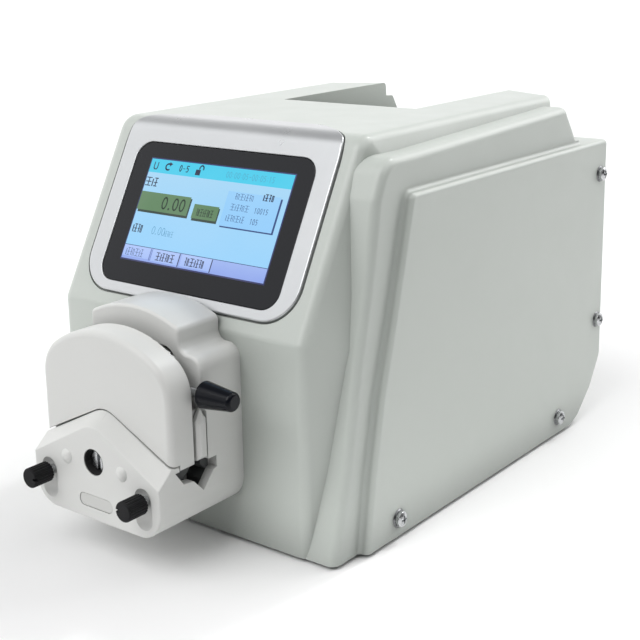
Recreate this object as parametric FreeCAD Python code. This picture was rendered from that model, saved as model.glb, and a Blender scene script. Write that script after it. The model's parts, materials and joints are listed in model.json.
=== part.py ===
import FreeCAD, Part
import os, math

# Bench-top peristaltic pump: a moulded drive housing with a sloping touch
# screen and a two-channel-clamp, three-roller pump head on its front.
#
# Design axes (mm): x = 0 is the middle plane, y = 0 the flat lower front face
# of the housing (the pump head stands in front of it, at negative y), z = 0
# the lower edge of the housing.  put() moves every node to the part's frame,
# whose origin is the middle of the footprint on the surface it stands on.

V = FreeCAD.Vector

# ------------------------------------------------------------ driving sizes
FOOT_H   = 2.0       # rubber feet stand this far below the housing edge
Y_MID    = 100.45    # middle of the overall depth, in design axes
WALL     = 3.0       # moulded wall
# housing layers
X2 = 100.0           # outer side panels
X1 = 95.2            # middle layer
X0 = 79.0            # central body, front edge
FLARE_X  = 94.5      # central body, where its flared flank ends
FLARE_T  = math.tan(math.radians(24.0))
RIM0, RIM1, RIM2 = 6.0, 4.5, 2.6   # rounding between the layers' fronts and flanks
SKIRT    = 2.2       # hollow rounding where the middle layer meets the outer panel
N_RIM    = 7
REAR_Y   = 264.5     # rear face
TOP2     = 166.5     # top of outer side panels
SLANT    = 28.6      # screen plane, degrees from vertical
ZK       = 103.8     # height of the kink where the screen plane starts
TOP0F, TOP0R = 193.0, 194.3   # central top, front and rear
REAR0    = 232.0     # rear end of central top
# recess at the rear of the top
REC_X, REC_Y0, REC_Z1 = 45.5, 143.0, 176.5
# screen
BEZ_X, BEZ_S0 = 70.0, 7.5
BEZ_R  = 19.0
BEZ_C1, BEZ_C2 = (47.5, 12.0), (44.3, 25.0)   # corners of the bezel's band, seen from above
BEZ_GAP = 1.0        # groove around the bezel
BEZ_OUT, BEZ_IN = 0.9, 1.6
BAND_Y = 66.0        # rear end of the bezel's band on the top face
GL_X, GL_S0, GL_S1, GL_R = 59.2, 13.0, 88.4, 9.5
LCD_X, LCD_S0, LCD_S1 = 47.52, 25.4, 79.3
# pump head
HX = 42.0            # half width
LOW_R = 14.0         # lower corners of the head
AX_Z = 49.0          # rotor axis height
Y_REARB, Y_SLOT, Y_PLATE0, Y_FACE, Y_CHIN = -27.0, -33.0, -48.0, -56.5, -56.5
BED_R, CAV_R = 22.1, 22.6
ORBIT, ROLLER_R, PIN_R = 13.5, 6.0, 2.0
CAV_Y0, CAV_Y1 = -43.0, -13.0
CAM_Z = 84.0         # cam shaft height
LIFT = 6.0           # travel of the upper block over half a turn of the lever
CAM_P0 = 4.0         # cam height in the closed state
CAM_RB = LIFT / math.pi
LEV_Y = -30.0        # lever rod, middle of the slot
KNOB_X, KNOB_Z, KNOB_R = 31.6, 37.4, 4.9
SCREW_PITCH = 0.8
SIDE_SCREWS = [(255.5, 147.0), (257.0, 58.0), (210.5, 9.7), (46.0, 9.3)]

os.makedirs("parts", exist_ok=True)
NODES, BOX = [], []


def put(name, shape):
    s = shape.copy()
    s.translate(V(0, -Y_MID, FOOT_H))
    if s.ShapeType == "Compound" and len(s.Solids) == 1:
        s = s.Solids[0]
    bad = [k for k in s.Solids if not k.isValid() or k.Volume <= 0]
    if bad or not s.Solids:
        print("BAD", name, len(s.Solids), len(bad))
    s.exportStep("parts/%s.step" % name)
    NODES.append(name)
    BOX.append((shape.BoundBox.YMin, shape.BoundBox.YMax))
    print("%-24s solids %2d  volume %9.1f" % (name, len(s.Solids), s.Volume))


# ------------------------------------------------------------ 2-D helpers
def corners(pts):
    """Edges of a closed outline [(u, v, r)] with each corner rounded by r."""
    n, c = len(pts), []
    for i in range(n):
        P, A, B = pts[i], pts[i - 1], pts[(i + 1) % n]
        r = P[2] if len(P) > 2 else 0
        if r <= 0:
            c.append(((P[0], P[1]), None, (P[0], P[1])))
            continue
        a = (A[0] - P[0], A[1] - P[1]); b = (B[0] - P[0], B[1] - P[1])
        la, lb = math.hypot(*a), math.hypot(*b)
        a = (a[0] / la, a[1] / la); b = (b[0] / lb, b[1] / lb)
        ang = math.acos(max(-1, min(1, a[0] * b[0] + a[1] * b[1])))
        t = r / math.tan(ang / 2)
        bis = (a[0] + b[0], a[1] + b[1]); lbis = math.hypot(*bis)
        bis = (bis[0] / lbis, bis[1] / lbis)
        k = r / math.sin(ang / 2) - r
        c.append(((P[0] + a[0] * t, P[1] + a[1] * t),
                  (P[0] + bis[0] * k, P[1] + bis[1] * k),
                  (P[0] + b[0] * t, P[1] + b[1] * t)))
    return c


def rwire(pts, f):
    c = corners(pts); n = len(c); e = []
    for i in range(n):
        s, m, t = c[i]
        if m is not None:
            e.append(Part.Arc(f(*s), f(*m), f(*t)).toShape())
        q = c[(i + 1) % n][0]
        if math.hypot(q[0] - t[0], q[1] - t[1]) > 1e-6:
            e.append(Part.makeLine(f(*t), f(*q)))
    return Part.Wire(e)


def prism(pts, f, ext):
    return Part.Face(rwire(pts, f)).extrude(ext)


def yz(pts, x0, x1):
    return prism(pts, lambda u, v: V(x0, u, v), V(x1 - x0, 0, 0))


def xz(pts, y0, y1):
    return prism(pts, lambda u, v: V(u, y0, v), V(0, y1 - y0, 0))


def xy(pts, z0, z1):
    return prism(pts, lambda u, v: V(u, v, z0), V(0, 0, z1 - z0))


def box(x0, x1, y0, y1, z0, z1):
    return Part.makeBox(x1 - x0, y1 - y0, z1 - z0, V(x0, y0, z0))


def cy(r, y0, y1, x=0.0, z=0.0):
    return Part.makeCylinder(r, y1 - y0, V(x, y0, z), V(0, 1, 0))


def cz(r, z0, z1, x=0.0, y=0.0):
    return Part.makeCylinder(r, z1 - z0, V(x, y, z0), V(0, 0, 1))


def cx(r, x0, x1, y=0.0, z=0.0):
    return Part.makeCylinder(r, x1 - x0, V(x0, y, z), V(1, 0, 0))


def ring_y(ro, ri, y0, y1, x=0.0, z=0.0):
    return cy(ro, y0, y1, x, z).cut(cy(ri, y0 - 1, y1 + 1, x, z))


def mx(s):
    """Mirror image across the middle plane."""
    return s.mirror(V(0, 0, 0), V(1, 0, 0))


def fuse(*s):
    r = s[0]
    for k in s[1:]:
        r = r.fuse(k)
    return r.removeSplitter()


def cut(s, *k):
    for t in k:
        s = s.cut(t)
    return s


def comp(*s):
    out = []
    for k in s:
        out += k.Solids
    return Part.makeCompound(out)


def fillet(s, r, pick, label=""):
    """Round the picked edges; a smaller radius is used if r does not close."""
    e = [k for k in s.Edges if pick(k)]
    if not e:
        print("no edge for", label)
        return s
    for q in (r, r * 0.8, r * 0.6, r * 0.4):
        try:
            t = s.makeFillet(q, e)
            if t.isValid() and len(t.Solids) == 1 and t.Volume > 0.5 * s.Volume:
                if q != r:
                    print("fillet", label, "used", q)
                return t.Solids[0]
        except Exception:
            pass
    print("fillet failed", label)
    return s


def on_x(x, tol=1e-4):
    def f(e):
        return all(abs(abs(v.X) - x) < tol for v in e.Vertexes) and \
            abs(abs(e.CenterOfMass.x) - x) < tol
    return f


def on_y(y, tol=1e-4):
    return lambda e: all(abs(v.Y - y) < tol for v in e.Vertexes) and \
        abs(e.CenterOfMass.y - y) < tol


# ------------------------------------------------------------ screen plane
SA, CA = math.sin(math.radians(SLANT)), math.cos(math.radians(SLANT))
SROT = FreeCAD.Placement(V(0, 0, ZK), FreeCAD.Rotation(V(1, 0, 0), 90 - SLANT))


def onscreen(s):
    """Move a shape drawn in (x, up-slope, outward) onto the screen plane."""
    s = s.copy()
    s.Placement = SROT.multiply(s.Placement)
    return s


def spr(pts, h0, h1):
    return onscreen(xy(pts, h0, h1))


def rrect(x, y0, y1, r):
    return [(-x, y0, r), (x, y0, r), (x, y1, r), (-x, y1, r)]


# ------------------------------------------------------------ housing
def slope(y0, z0, z):
    return y0 + (z - z0) * SA / CA


def prof0(d, r1=12.0, r2=6.0, bottom=0.0):
    """Central body's side outline, moved inwards by d (outwards if d < 0)."""
    # plane of the screen moved by d along its normal
    yk = d
    zk = ZK - d * math.tan(math.radians(SLANT / 2))
    tilt = (TOP0R - TOP0F) / (REAR0 - 45.0)
    # meet the screen plane with the top plane
    zt = TOP0F - d
    for _ in range(20):
        y = slope(yk, zk, zt)
        zt = TOP0F - d + (y - 45.0) * tilt
    y = slope(yk, zk, zt)
    ztr = TOP0F - d + (REAR0 - d - 45.0) * tilt
    return [(yk, bottom), (yk, zk, max(r2 - d, 0.5)), (y, zt, max(r1 - d, 1.0)),
            (REAR0 - d, ztr, 3.0), (REAR0 - d, bottom)]


def stack(sections):
    """Ruled solid through outlines that share one corner count."""
    ws = [rwire(p, lambda u, v, x=x: V(x, u, v)) for (x, p) in sections]
    return Part.makeLoft(ws, True, True)


def both(half):
    """Sections of the +x half, outermost last, completed with their mirror."""
    return [(-x, p) for (x, p) in reversed(half)] + half


def flared():
    """Central body: rounded rim, then flanks that flare towards the sides."""
    turn = math.radians(90 - 24.0)
    t = RIM0 * math.tan(turn / 2)
    half = []
    for i in range(N_RIM + 1):
        th = turn * i / N_RIM
        half.append((X0 - t + RIM0 * math.sin(th), prof0(RIM0 - RIM0 * math.cos(th))))
    half.append((FLARE_X, prof0((FLARE_X - X0) / FLARE_T)))
    return stack(both(half))


def layer(P, X, r):
    """Flat-sided layer with a rounded rim; its lower edge stays level."""
    half = []
    for i in range(N_RIM + 1):
        th = math.pi / 2 * i / N_RIM
        half.append((X - r + r * math.sin(th), inward(P, r - r * math.cos(th), 0.0)))
    return stack(both(half))


P1 = [(0.8, 0.0), (11.2, 41.0, 60), (20.6, 90.0, 60), (28.9, 124.0, 60), (36.6, 166.0, 12),
      (44.5, 184.2, 14), (70.0, 184.2, 30), (221.0, 189.2, 4), (236.5, 168.0, 2),
      (236.5, 0.0)]
# the middle layer starts this much further back on the left side
SETBACK = [14.0, 14.0, 14.0, 14.0, 20.0, 22.0, 22.0, 0.0, 0.0, 0.0]
P1L = [(p[0] + d,) + tuple(p[1:]) for (p, d) in zip(P1, SETBACK)]
P2 = [(20.1, 0.0), (25.8, 37.0, 60), (33.4, 74.0, 80), (44.6, 113.0, 80), (58.8, TOP2, 4),
      (REAR_Y, TOP2, 3), (REAR_Y, 34.0, 12), (252.5, 16.0, 14), (237.0, 2.0, 8), (231.5, 0.0)]


def inward(pts, d, bottom=-5.0):
    """Offset a convex outline inwards by d, keeping its corner count."""
    n = len(pts); out = []
    area = sum(pts[i][0] * pts[(i + 1) % n][1] - pts[(i + 1) % n][0] * pts[i][1]
               for i in range(n))
    sgn = 1 if area > 0 else -1
    lines = []
    for i in range(n):
        a, b = pts[i], pts[(i + 1) % n]
        dx, dy = b[0] - a[0], b[1] - a[1]; L = math.hypot(dx, dy)
        nx, ny = -dy / L * sgn, dx / L * sgn
        k = d
        if abs(a[1]) < 1e-9 and abs(b[1]) < 1e-9:
            k = bottom
        lines.append((a[0] + nx * k, a[1] + ny * k, dx, dy))
    for i in range(n):
        x1, y1, dx1, dy1 = lines[i - 1]; x2, y2, dx2, dy2 = lines[i]
        det = dx1 * dy2 - dy1 * dx2
        t = ((x2 - x1) * dy2 - (y2 - y1) * dx2) / det
        r = pts[i][2] if len(pts[i]) > 2 else 0
        out.append((x1 + t * dx1, y1 + t * dy1, max(r - d, 0.25) if r > 0 else 0))
    return out


L2 = layer(P2, X2, RIM2)
RIGHT, LEFT = box(0, 130, -20, 300, -5, 300), box(-130, 0, -20, 300, -5, 300)
L1 = layer(P1, X1, RIM1).common(RIGHT).fuse(layer(P1L, X1, RIM1).common(LEFT))
L0 = flared()
sk = []
for i in range(N_RIM + 1):
    th = math.pi / 2 * i / N_RIM
    sk.append((X1 + SKIRT - SKIRT * math.cos(th), inward(P2, -(SKIRT - SKIRT * math.sin(th)) - 1e-3, 0.0)))
sk = [(X1 - 3.0, sk[0][1])] + sk
skirt = stack(both(sk)).common(box(-120, 120, -10, 236.0, 0, 300))
L2 = L2.fuse(skirt)
# the rear ends of the central top and of the middle layer bow outwards between the flanks
def bowed(xa, a, xb, b):
    return stack([(-xb, b), (-xa, a), (xa, a), (xb, b)])


top_end = bowed(REC_X, [(200, 172), (200, 194.04), (245.5, 194.3, 3.0), (246.5, 172)],
                75.0, [(200, 172), (200, 194.04), (231.6, 194.2, 3.0), (231.8, 172)])
mid_end = bowed(REC_X, [(200, 160), (200, 188.2), (253.0, 185.4, 2.0), (260.0, 174.0, 1.0), (263.5, 166.0), (263.5, 160)],
                90.5, [(200, 160), (200, 188.2), (220.7, 188.8, 2.0), (229.0, 177.6, 1.0), (237.0, 166.0), (237.0, 160)])
outer = L2.fuse(L1).fuse(L0).fuse(mid_end).fuse(top_end)
try:
    outer = outer.removeSplitter()
except Exception:
    pass
print("outer", outer.isValid(), len(outer.Solids), round(outer.Volume))

# rear recess in the top: flush at its front, falling to the rear
rec = yz([(REC_Y0, TOP0F + 0.6), (REC_Y0, 230), (300, 230),
          (300, REC_Z1 - 9.0), (REAR0 + 2, REC_Z1)], -REC_X, REC_X)
outer = outer.cut(rec)

# hollow inside
in2 = yz(inward(P2, WALL), -X2 + WALL, X2 - WALL)
in1 = yz(inward(P1, WALL + 0.4), 0, X1 - WALL).fuse(yz(inward(P1L, WALL + 0.4), -X1 + WALL, 0))
in0 = yz(prof0(WALL + 0.3, 12.0, 6.0, -5.0), -X0 + WALL + 2.0, X0 - WALL - 2.0)
in_top = bowed(REC_X + WALL, [(200, 150), (200, 190.6), (242.4, 190.6), (243.2, 150)],
               71.5, [(200, 150), (200, 190.6), (228.4, 190.6), (228.6, 150)])
in_mid = bowed(REC_X + WALL, [(200, 150), (200, 182.0), (249.0, 182.0), (256.5, 170.5), (258.0, 150)],
               87.0, [(200, 150), (200, 182.0), (217.5, 184.0), (232.0, 164.5), (233.0, 150)])
hollow = in2.fuse(in1).fuse(in0).fuse(in_top).fuse(in_mid)
# keep a floor under the top recess
recfloor = yz([(REC_Y0 - 12, TOP0F - 0.4 + 40), (REC_Y0 - 12, TOP0F - 3.0), (REAR0 + 2, REC_Z1 - 3.2),
               (300, REC_Z1 - 12.4), (300, 233)], -REC_X - WALL, REC_X + WALL)
hollow = hollow.cut(recfloor)
shell = outer.cut(hollow)

# bezel skin and its pocket in the housing
def skin(d_out, d_in):
    """Closed strip between two offsets of the screen plane and top."""
    def cap(d):
        p = prof0(d)
        return [(p[0][0], -2.0), (p[1][0], p[1][1], 0.0), p[2], (150.0, p[2][1] + 0.7), (150.0, -2.0)]
    o = cap(-d_out); i = cap(d_in)
    return yz(o, -90, 90).cut(yz(i, -91, 91))


def bezel_outline(g):
    a = onscreen(xy([(-BEZ_X - g, BEZ_S0 - g, BEZ_R + g), (BEZ_X + g, BEZ_S0 - g, BEZ_R + g),
                     (BEZ_X + g, 220), (-BEZ_X - g, 220)], -40, 60))
    x1, y1, r1 = BEZ_X + g, BEZ_C1[0] + 0.51 * g, BEZ_C1[1] + g
    x2, y2, r2 = BEZ_C2[0] + 0.32 * g, BAND_Y + g, BEZ_C2[1] + g
    b = xy([(-x1, -80), (x1, -80), (x1, y1, r1), (x2, y2, r2), (-x2, y2, r2), (-x1, y1, r1)], 60, 260)
    return a.common(b)


pocket = skin(6.0, BEZ_IN + 0.1).common(bezel_outline(BEZ_GAP))
# thicken the wall behind the bezel before the pocket is cut
back = skin(-0.2, 5.0).common(bezel_outline(3.0)).common(yz(prof0(0.2), -X0 + 1, X0 - 1))
shell = shell.fuse(back).cut(pocket)
window = spr(rrect(GL_X - 2.5, GL_S0 + 2.5, GL_S1 - 2.5, 7.0), -12, 4)
shell = shell.cut(window)

# front wall: opening for the drive, and four screw holes
shell = shell.cut(cy(22.0, -1, 8, 0, AX_Z))
HM = [(-34.0, 27.0), (34.0, 27.0), (-34.0, 90.0), (34.0, 90.0)]
for (x, z) in HM:
    shell = shell.cut(cy(2.25, -1, 8, x, z))

# rear opening with a rebate for the panel and an inner frame that takes screws
PX, PZ0, PZ1 = 86.0, 44.0, 158.0
frame_r = box(-PX - 4, PX + 4, 256.5, REAR_Y - 2.5, PZ0 - 4, PZ1 + 3)
shell = shell.fuse(frame_r)
shell = shell.cut(box(-PX, PX, REAR_Y - 2.0, REAR_Y + 3, PZ0, PZ1))
shell = shell.cut(box(-PX + 7, PX - 7, 250, REAR_Y + 3, PZ0 + 7, PZ1 - 7))
RPS = [(sx * (PX - 3.6), z) for sx in (-1, 1) for z in (PZ0 + 3.6, 82.0, 120.0, PZ1 - 3.6)]
for (x, z) in RPS:
    shell = shell.cut(cy(1.3, 257.0, REAR_Y, x, z))
for (y, z) in SIDE_SCREWS:
    for s in (1, -1):
        shell = shell.cut(cx(2.3, min(s * 93, s * 102), max(s * 93, s * 102), y, z))
shell = shell.Solids[0] if len(shell.Solids) == 1 else max(shell.Solids, key=lambda k: k.Volume)
print("shell", shell.isValid(), len(shell.Solids))
put("housing_shell", shell)

# ------------------------------------------------------------ screen parts
bezel = skin(BEZ_OUT, BEZ_IN).common(bezel_outline(0.0))
bezel = bezel.cut(spr(rrect(GL_X + 0.15, GL_S0 - 0.15, GL_S1 + 0.15, GL_R), -12, 8))
put("screen_bezel", bezel)
glass = spr(rrect(GL_X, GL_S0, GL_S1, GL_R), -BEZ_IN + 0.1, 0.4)
put("touch_glass", glass)
LCX = (GL_S0 + GL_S1) / 2
lcd = spr(rrect(52.7, LCD_S0 - 6.5, LCD_S1 + 6.5, 3.2), -BEZ_IN - 4.4, -BEZ_IN - 0.2)
lcd = lcd.cut(spr(rrect(LCD_X, LCD_S0, LCD_S1, 0.3), -BEZ_IN - 0.8, 0))
put("lcd_display", lcd)
dboard = spr(rrect(55.0, GL_S0 + 4, GL_S1 - 4, 2), -13.0, -11.4)
for (x, s, w, h, t) in [(-20, 40, 18, 18, 1.6), (18, 52, 14, 10, 1.4), (35, 30, 10, 6, 2.5), (-40, 65, 6, 12, 3.0)]:
    dboard = dboard.fuse(spr([(x - w / 2, s - h / 2), (x + w / 2, s - h / 2), (x + w / 2, s + h / 2), (x - w / 2, s + h / 2)], -13.0 - t, -12.9))
for x in (-51, 51):
    for s in (GL_S0 + 8, GL_S1 - 8):
        dboard = dboard.cut(onscreen(cz(1.6, -20, 0, x, s)))
put("display_board", dboard.removeSplitter())
dspc = comp(*[onscreen(cz(2.6, -11.4, -BEZ_IN - 5.0, x, s).cut(cz(1.3, -12, 0, x, s)))
              for x in (-51, 51) for s in (GL_S0 + 8, GL_S1 - 8)])

# ------------------------------------------------------------ chassis
base = box(-73.8, 73.8, 3.5, 22.0, 2, 4).fuse(box(60.0, 91.6, 7.0, 30, 2, 4)).fuse(box(-91.6, -60.0, 20.6, 30, 2, 4)).fuse(
    box(-96.6, 96.6, 27.0, 226.6, 2, 4)).fuse(box(-94.0, 94.0, 224.6, 226.6, 2, 13)).removeSplitter()
for i in range(9):
    y = 135 + i * 8
    for s in (-1, 1):
        base = base.cut(xy([(s * 55 - 22, y, 1.9), (s * 55 + 22, y, 1.9), (s * 55 + 22, y + 4, 1.9), (s * 55 - 22, y + 4, 1.9)], 0, 6))
FEET = [(-78.0, 42.0), (78.0, 42.0), (-82.0, 213.0), (82.0, 213.0)]
for (x, y) in FEET:
    base = base.cut(cz(1.7, 0, 6, x, y))
STB = [(15.0, 120.0), (85.0, 120.0), (15.0, 222.0), (85.0, 222.0)]
for (x, y) in STB:
    base = base.cut(cz(1.6, 0, 6, x, y))
put("base_plate", base)

feet, fscr = [], []
for (x, y) in FEET:
    f = Part.makeCone(7.2, 8.0, 4.0, V(x, y, -2), V(0, 0, 1))
    f = f.cut(cz(3.3, -3, 0, x, y)).cut(cz(1.65, -3, 3, x, y))
    feet.append(f)
    k = cz(2.9, -1.8, -0.1, x, y).fuse(cz(1.6, -0.2, 7.0, x, y)).fuse(
        xy([(x + 3.1 * math.cos(math.radians(60 * i)), y + 3.1 * math.sin(math.radians(60 * i))) for i in range(6)], 4.05, 6.4))
    k = k.cut(box(x - 0.45, x + 0.45, y - 1.6, y + 1.6, -2, -0.9)).cut(box(x - 1.6, x + 1.6, y - 0.45, y + 0.45, -2, -0.9))
    fscr.append(k)
put("rubber_feet", comp(*feet))
put("foot_screws", comp(*fscr))

br = yz([(32, 4.1), (222, 4.1, 6), (236, 13, 6), (247, 25, 8), (260.5, 44, 6), (260.5, 155.5, 2),
         (248.5, 155.5, 2), (248.5, 50, 10), (236, 30, 8), (222, 18.5, 8), (32, 18.5, 3)], 94.7, 96.7)
brack = br
for (y, z) in SIDE_SCREWS:
    brack = brack.cut(cx(2.03, 90, 99, y, z))
brack = cut(brack, box(90, 99, 255.9, 262, 38, 162.0).cut(box(90, 99, 250, 256.4, 30, 170)).cut(box(94.0, 99, 240, 270, 0, 200)))
foot = box(84.0, 94.7, 60, 80, 4.05, 6.05).fuse(box(84.0, 94.7, 180, 200, 4.05, 6.05))
brack_r = brack.fuse(foot).removeSplitter()
put("chassis_bracket_right", brack_r)
put("chassis_bracket_left", mx(brack_r))

scr, wsh = [], []
for (y, z) in SIDE_SCREWS:
    sh = cx(2.0, 92.0, 101.0, y, z)
    head = Part.makeCylinder(3.9, 1.3, V(100.8, y, z), V(1, 0, 0))
    dome = Part.makeSphere(6.6, V(97.1, y, z)).common(cx(3.9, 101.0, 104.0, y, z))
    k = sh.fuse(head).fuse(dome)
    k = k.cut(box(102.2, 105, y - 0.55, y + 0.55, z - 2.2, z + 2.2)).cut(box(102.2, 105, y - 2.2, y + 2.2, z - 0.55, z + 0.55))
    scr += [k, mx(k)]
    w = Part.makeCone(4.8, 4.2, 0.8, V(100.0, y, z), V(1, 0, 0)).cut(cx(2.15, 99, 102, y, z))
    wsh += [w, mx(w)]
put("side_screws", comp(*scr))
put("side_screw_washers", comp(*wsh))

# ------------------------------------------------------------ rear panel
RY0, RY1 = REAR_Y - 2.0, REAR_Y - 0.2
panel = box(-PX + 0.3, PX - 0.3, RY0, RY1, PZ0 + 0.3, PZ1 - 0.3)
FANX, FANZ = 42.0, 108.0
panel = panel.cut(cy(28.0, 250, 270, FANX, FANZ))
for sx in (-1, 1):
    for sz in (-1, 1):
        panel = panel.cut(cy(2.1, 250, 270, FANX + 25 * sx, FANZ + 25 * sz))
INX, INZ = -47.0, 76.0
panel = panel.cut(xz([(INX - 14.0, INZ - 23.5, 1), (INX + 14.0, INZ - 23.5, 1), (INX + 14.0, INZ + 12.0, 3), (INX - 14.0, INZ + 12.0, 3)], 250, 270))
for sx in (-1, 1):
    panel = panel.cut(cy(1.7, 250, 270, INX + 20 * sx, INZ))
SWX, SWZ = -47.0, 122.0
panel = panel.cut(box(SWX - 9.6, SWX + 9.6, 250, 270, SWZ - 6.6, SWZ + 6.6))
DBX, DBZ = 36.0, 60.0
panel = panel.cut(xz([(DBX - 13.0, DBZ + 5.0, 2), (DBX - 11.0, DBZ - 5.0, 2), (DBX + 11.0, DBZ - 5.0, 2), (DBX + 13.0, DBZ + 5.0, 2)], 250, 270))
for sx in (-1, 1):
    panel = panel.cut(cy(1.7, 250, 270, DBX + 16.65 * sx, DBZ))
GSX, GSZ = -6.0, 60.0
panel = panel.cut(cy(2.1, 250, 270, GSX, GSZ))
for (x, z) in RPS:
    panel = panel.cut(cy(1.7, 250, 270, x, z))
put("rear_panel", panel)
rs = []
for (x, z) in RPS:
    k = cy(1.27, 258.0, RY1 + 0.1, x, z).fuse(cy(2.8, RY1, RY1 + 1.0, x, z)).fuse(
        Part.makeCone(2.8, 1.9, 0.7, V(x, RY1 + 1.0, z), V(0, 1, 0)))
    k = k.cut(box(x - 0.4, x + 0.4, RY1 + 0.8, RY1 + 3, z - 1.5, z + 1.5)).cut(box(x - 1.5, x + 1.5, RY1 + 0.8, RY1 + 3, z - 0.4, z + 0.4))
    rs.append(k)

# fan
ff = xz([(FANX - 30, FANZ - 30, 3), (FANX + 30, FANZ - 30, 3), (FANX + 30, FANZ + 30, 3), (FANX - 30, FANZ + 30, 3)], RY0 - 15.2, RY0 - 0.1)
ff = ff.cut(cy(28.0, RY0 - 20, RY0 + 1, FANX, FANZ))
hub = cy(10.0, RY0 - 15.2, RY0 - 13.2, FANX, FANZ)
for a in range(4):
    t = math.radians(45 + 90 * a)
    arm = box(8.0, 29.0, RY0 - 15.2, RY0 - 13.4, -1.6, 1.6)
    arm.rotate(V(0, 0, 0), V(0, 1, 0), 45 + 90 * a)
    arm.translate(V(FANX, 0, FANZ))
    hub = hub.fuse(arm)
ff = ff.fuse(hub).fuse(cy(1.5, RY0 - 14, RY0 - 4.5, FANX, FANZ))
for sx in (-1, 1):
    for sz in (-1, 1):
        ff = ff.cut(cy(1.9, RY0 - 20, RY0 + 1, FANX + 25 * sx, FANZ + 25 * sz))
put("fan_frame", ff.removeSplitter())
imp = ring_y(11.0, 1.55, RY0 - 12.6, RY0 - 2.6, FANX, FANZ)
imp = imp.cut(ring_y(9.6, 4.0, RY0 - 13, RY0 - 5, FANX, FANZ))
for a in range(7):
    bl = Part.makeBox(16.2, 1.3, 9.6, V(10.4, -0.65, -4.8))
    bl.rotate(V(0, 0, 0), V(1, 0, 0), 38)
    bl = bl.common(Part.makeBox(40, 20, 7.6, V(0, -10, -3.8)))
    # local z runs along the fan axis
    bl.rotate(V(0, 0, 0), V(1, 0, 0), -90)
    bl.rotate(V(0, 0, 0), V(0, 1, 0), a * 360.0 / 7)
    bl.translate(V(FANX, RY0 - 7.6, FANZ))
    imp = imp.fuse(bl)
imp = imp.common(cy(27.0, RY0 - 13, RY0 - 2, FANX, FANZ))
put("fan_impeller", imp.removeSplitter())
gr = ring_y(30.0, 27.6, RY1 + 0.05, RY1 + 1.6, FANX, FANZ)
for r in (22.5, 17.0, 11.5):
    gr = gr.fuse(ring_y(r + 0.8, r - 0.8, RY1 + 0.05, RY1 + 1.6, FANX, FANZ))
gr = gr.fuse(cy(6.0, RY1 + 0.05, RY1 + 1.6, FANX, FANZ))
for a in range(4):
    arm = box(5.0, 36.0, RY1 + 0.05, RY1 + 1.6, -1.3, 1.3)
    if True:
        arm = arm.fuse(cy(3.4, RY1 + 0.05, RY1 + 1.6, 35.355, 0))
    arm = arm.cut(cy(1.7, 250, 270, 35.355, 0))
    arm.rotate(V(0, 0, 0), V(0, 1, 0), 45 + 90 * a)
    arm.translate(V(FANX, 0, FANZ))
    gr = gr.fuse(arm)
put("fan_grille", gr.removeSplitter())
fs = []
for sx in (-1, 1):
    for sz in (-1, 1):
        x, z = FANX + 25 * sx, FANZ + 25 * sz
        k = cy(1.6, RY0 - 17.5, RY1 + 1.7, x, z).fuse(cy(2.9, RY1 + 1.65, RY1 + 2.6, x, z)).fuse(
            Part.makeCone(2.9, 1.9, 0.8, V(x, RY1 + 2.6, z), V(0, 1, 0)))
        k = k.cut(box(x - 0.4, x + 0.4, RY1 + 2.4, RY1 + 5, z - 1.5, z + 1.5)).cut(box(x - 1.5, x + 1.5, RY1 + 2.4, RY1 + 5, z - 0.4, z + 0.4))
        k = k.fuse(xz([(x + 3.1 * math.cos(math.radians(60 * i)), z + 3.1 * math.sin(math.radians(60 * i))) for i in range(6)], RY0 - 17.4, RY0 - 15.3))
        fs.append(k.removeSplitter())

# mains inlet with a fuse drawer under the socket
inl = xz([(INX - 13.7, INZ - 23.2, 1), (INX + 13.7, INZ - 23.2, 1), (INX + 13.7, INZ + 11.7, 3), (INX - 13.7, INZ + 11.7, 3)], RY0 - 24.0, RY1 + 0.1)
fl = xz([(INX - 15.5, INZ - 24.5, 2), (INX - 25.0, INZ - 4.5, 3), (INX - 25.0, INZ + 4.5, 3), (INX - 15.5, INZ + 14.5, 2),
         (INX + 15.5, INZ + 14.5, 2), (INX + 25.0, INZ + 4.5, 3), (INX + 25.0, INZ - 4.5, 3), (INX + 15.5, INZ - 24.5, 2)], RY1 + 0.05, RY1 + 2.6)
inl = inl.fuse(fl)
inl = inl.cut(xz([(INX - 12.1, INZ - 7.6, 1), (INX + 12.1, INZ - 7.6, 1), (INX + 12.1, INZ + 4.0, 0.5), (INX + 7.5, INZ + 8.2, 0.5), (INX - 7.5, INZ + 8.2, 0.5), (INX - 12.1, INZ + 4.0, 0.5)], RY1 + 2.6 - 18.0, RY1 + 4))
inl = inl.cut(box(INX - 11.0, INX + 11.0, RY0 - 20.0, RY1 + 4, INZ - 21.0, INZ - 10.6))
for (dx, dz) in ((-7.0, -2.6), (7.0, -2.6), (0.0, 2.6)):
    inl = inl.fuse(box(INX + dx - 1.0, INX + dx + 1.0, RY1 - 16.0, RY1 - 1.5, INZ + dz - 2.0, INZ + dz + 2.0))
    inl = inl.fuse(box(INX + dx - 3.1, INX + dx + 3.1, RY0 - 31.0, RY0 - 23.9, INZ + dz - 0.4, INZ + dz + 0.4))
for sx in (-1, 1):
    inl = inl.cut(cy(1.7, 250, 270, INX + 20 * sx, INZ))
put("mains_inlet", inl.removeSplitter())
iscr = []
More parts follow.
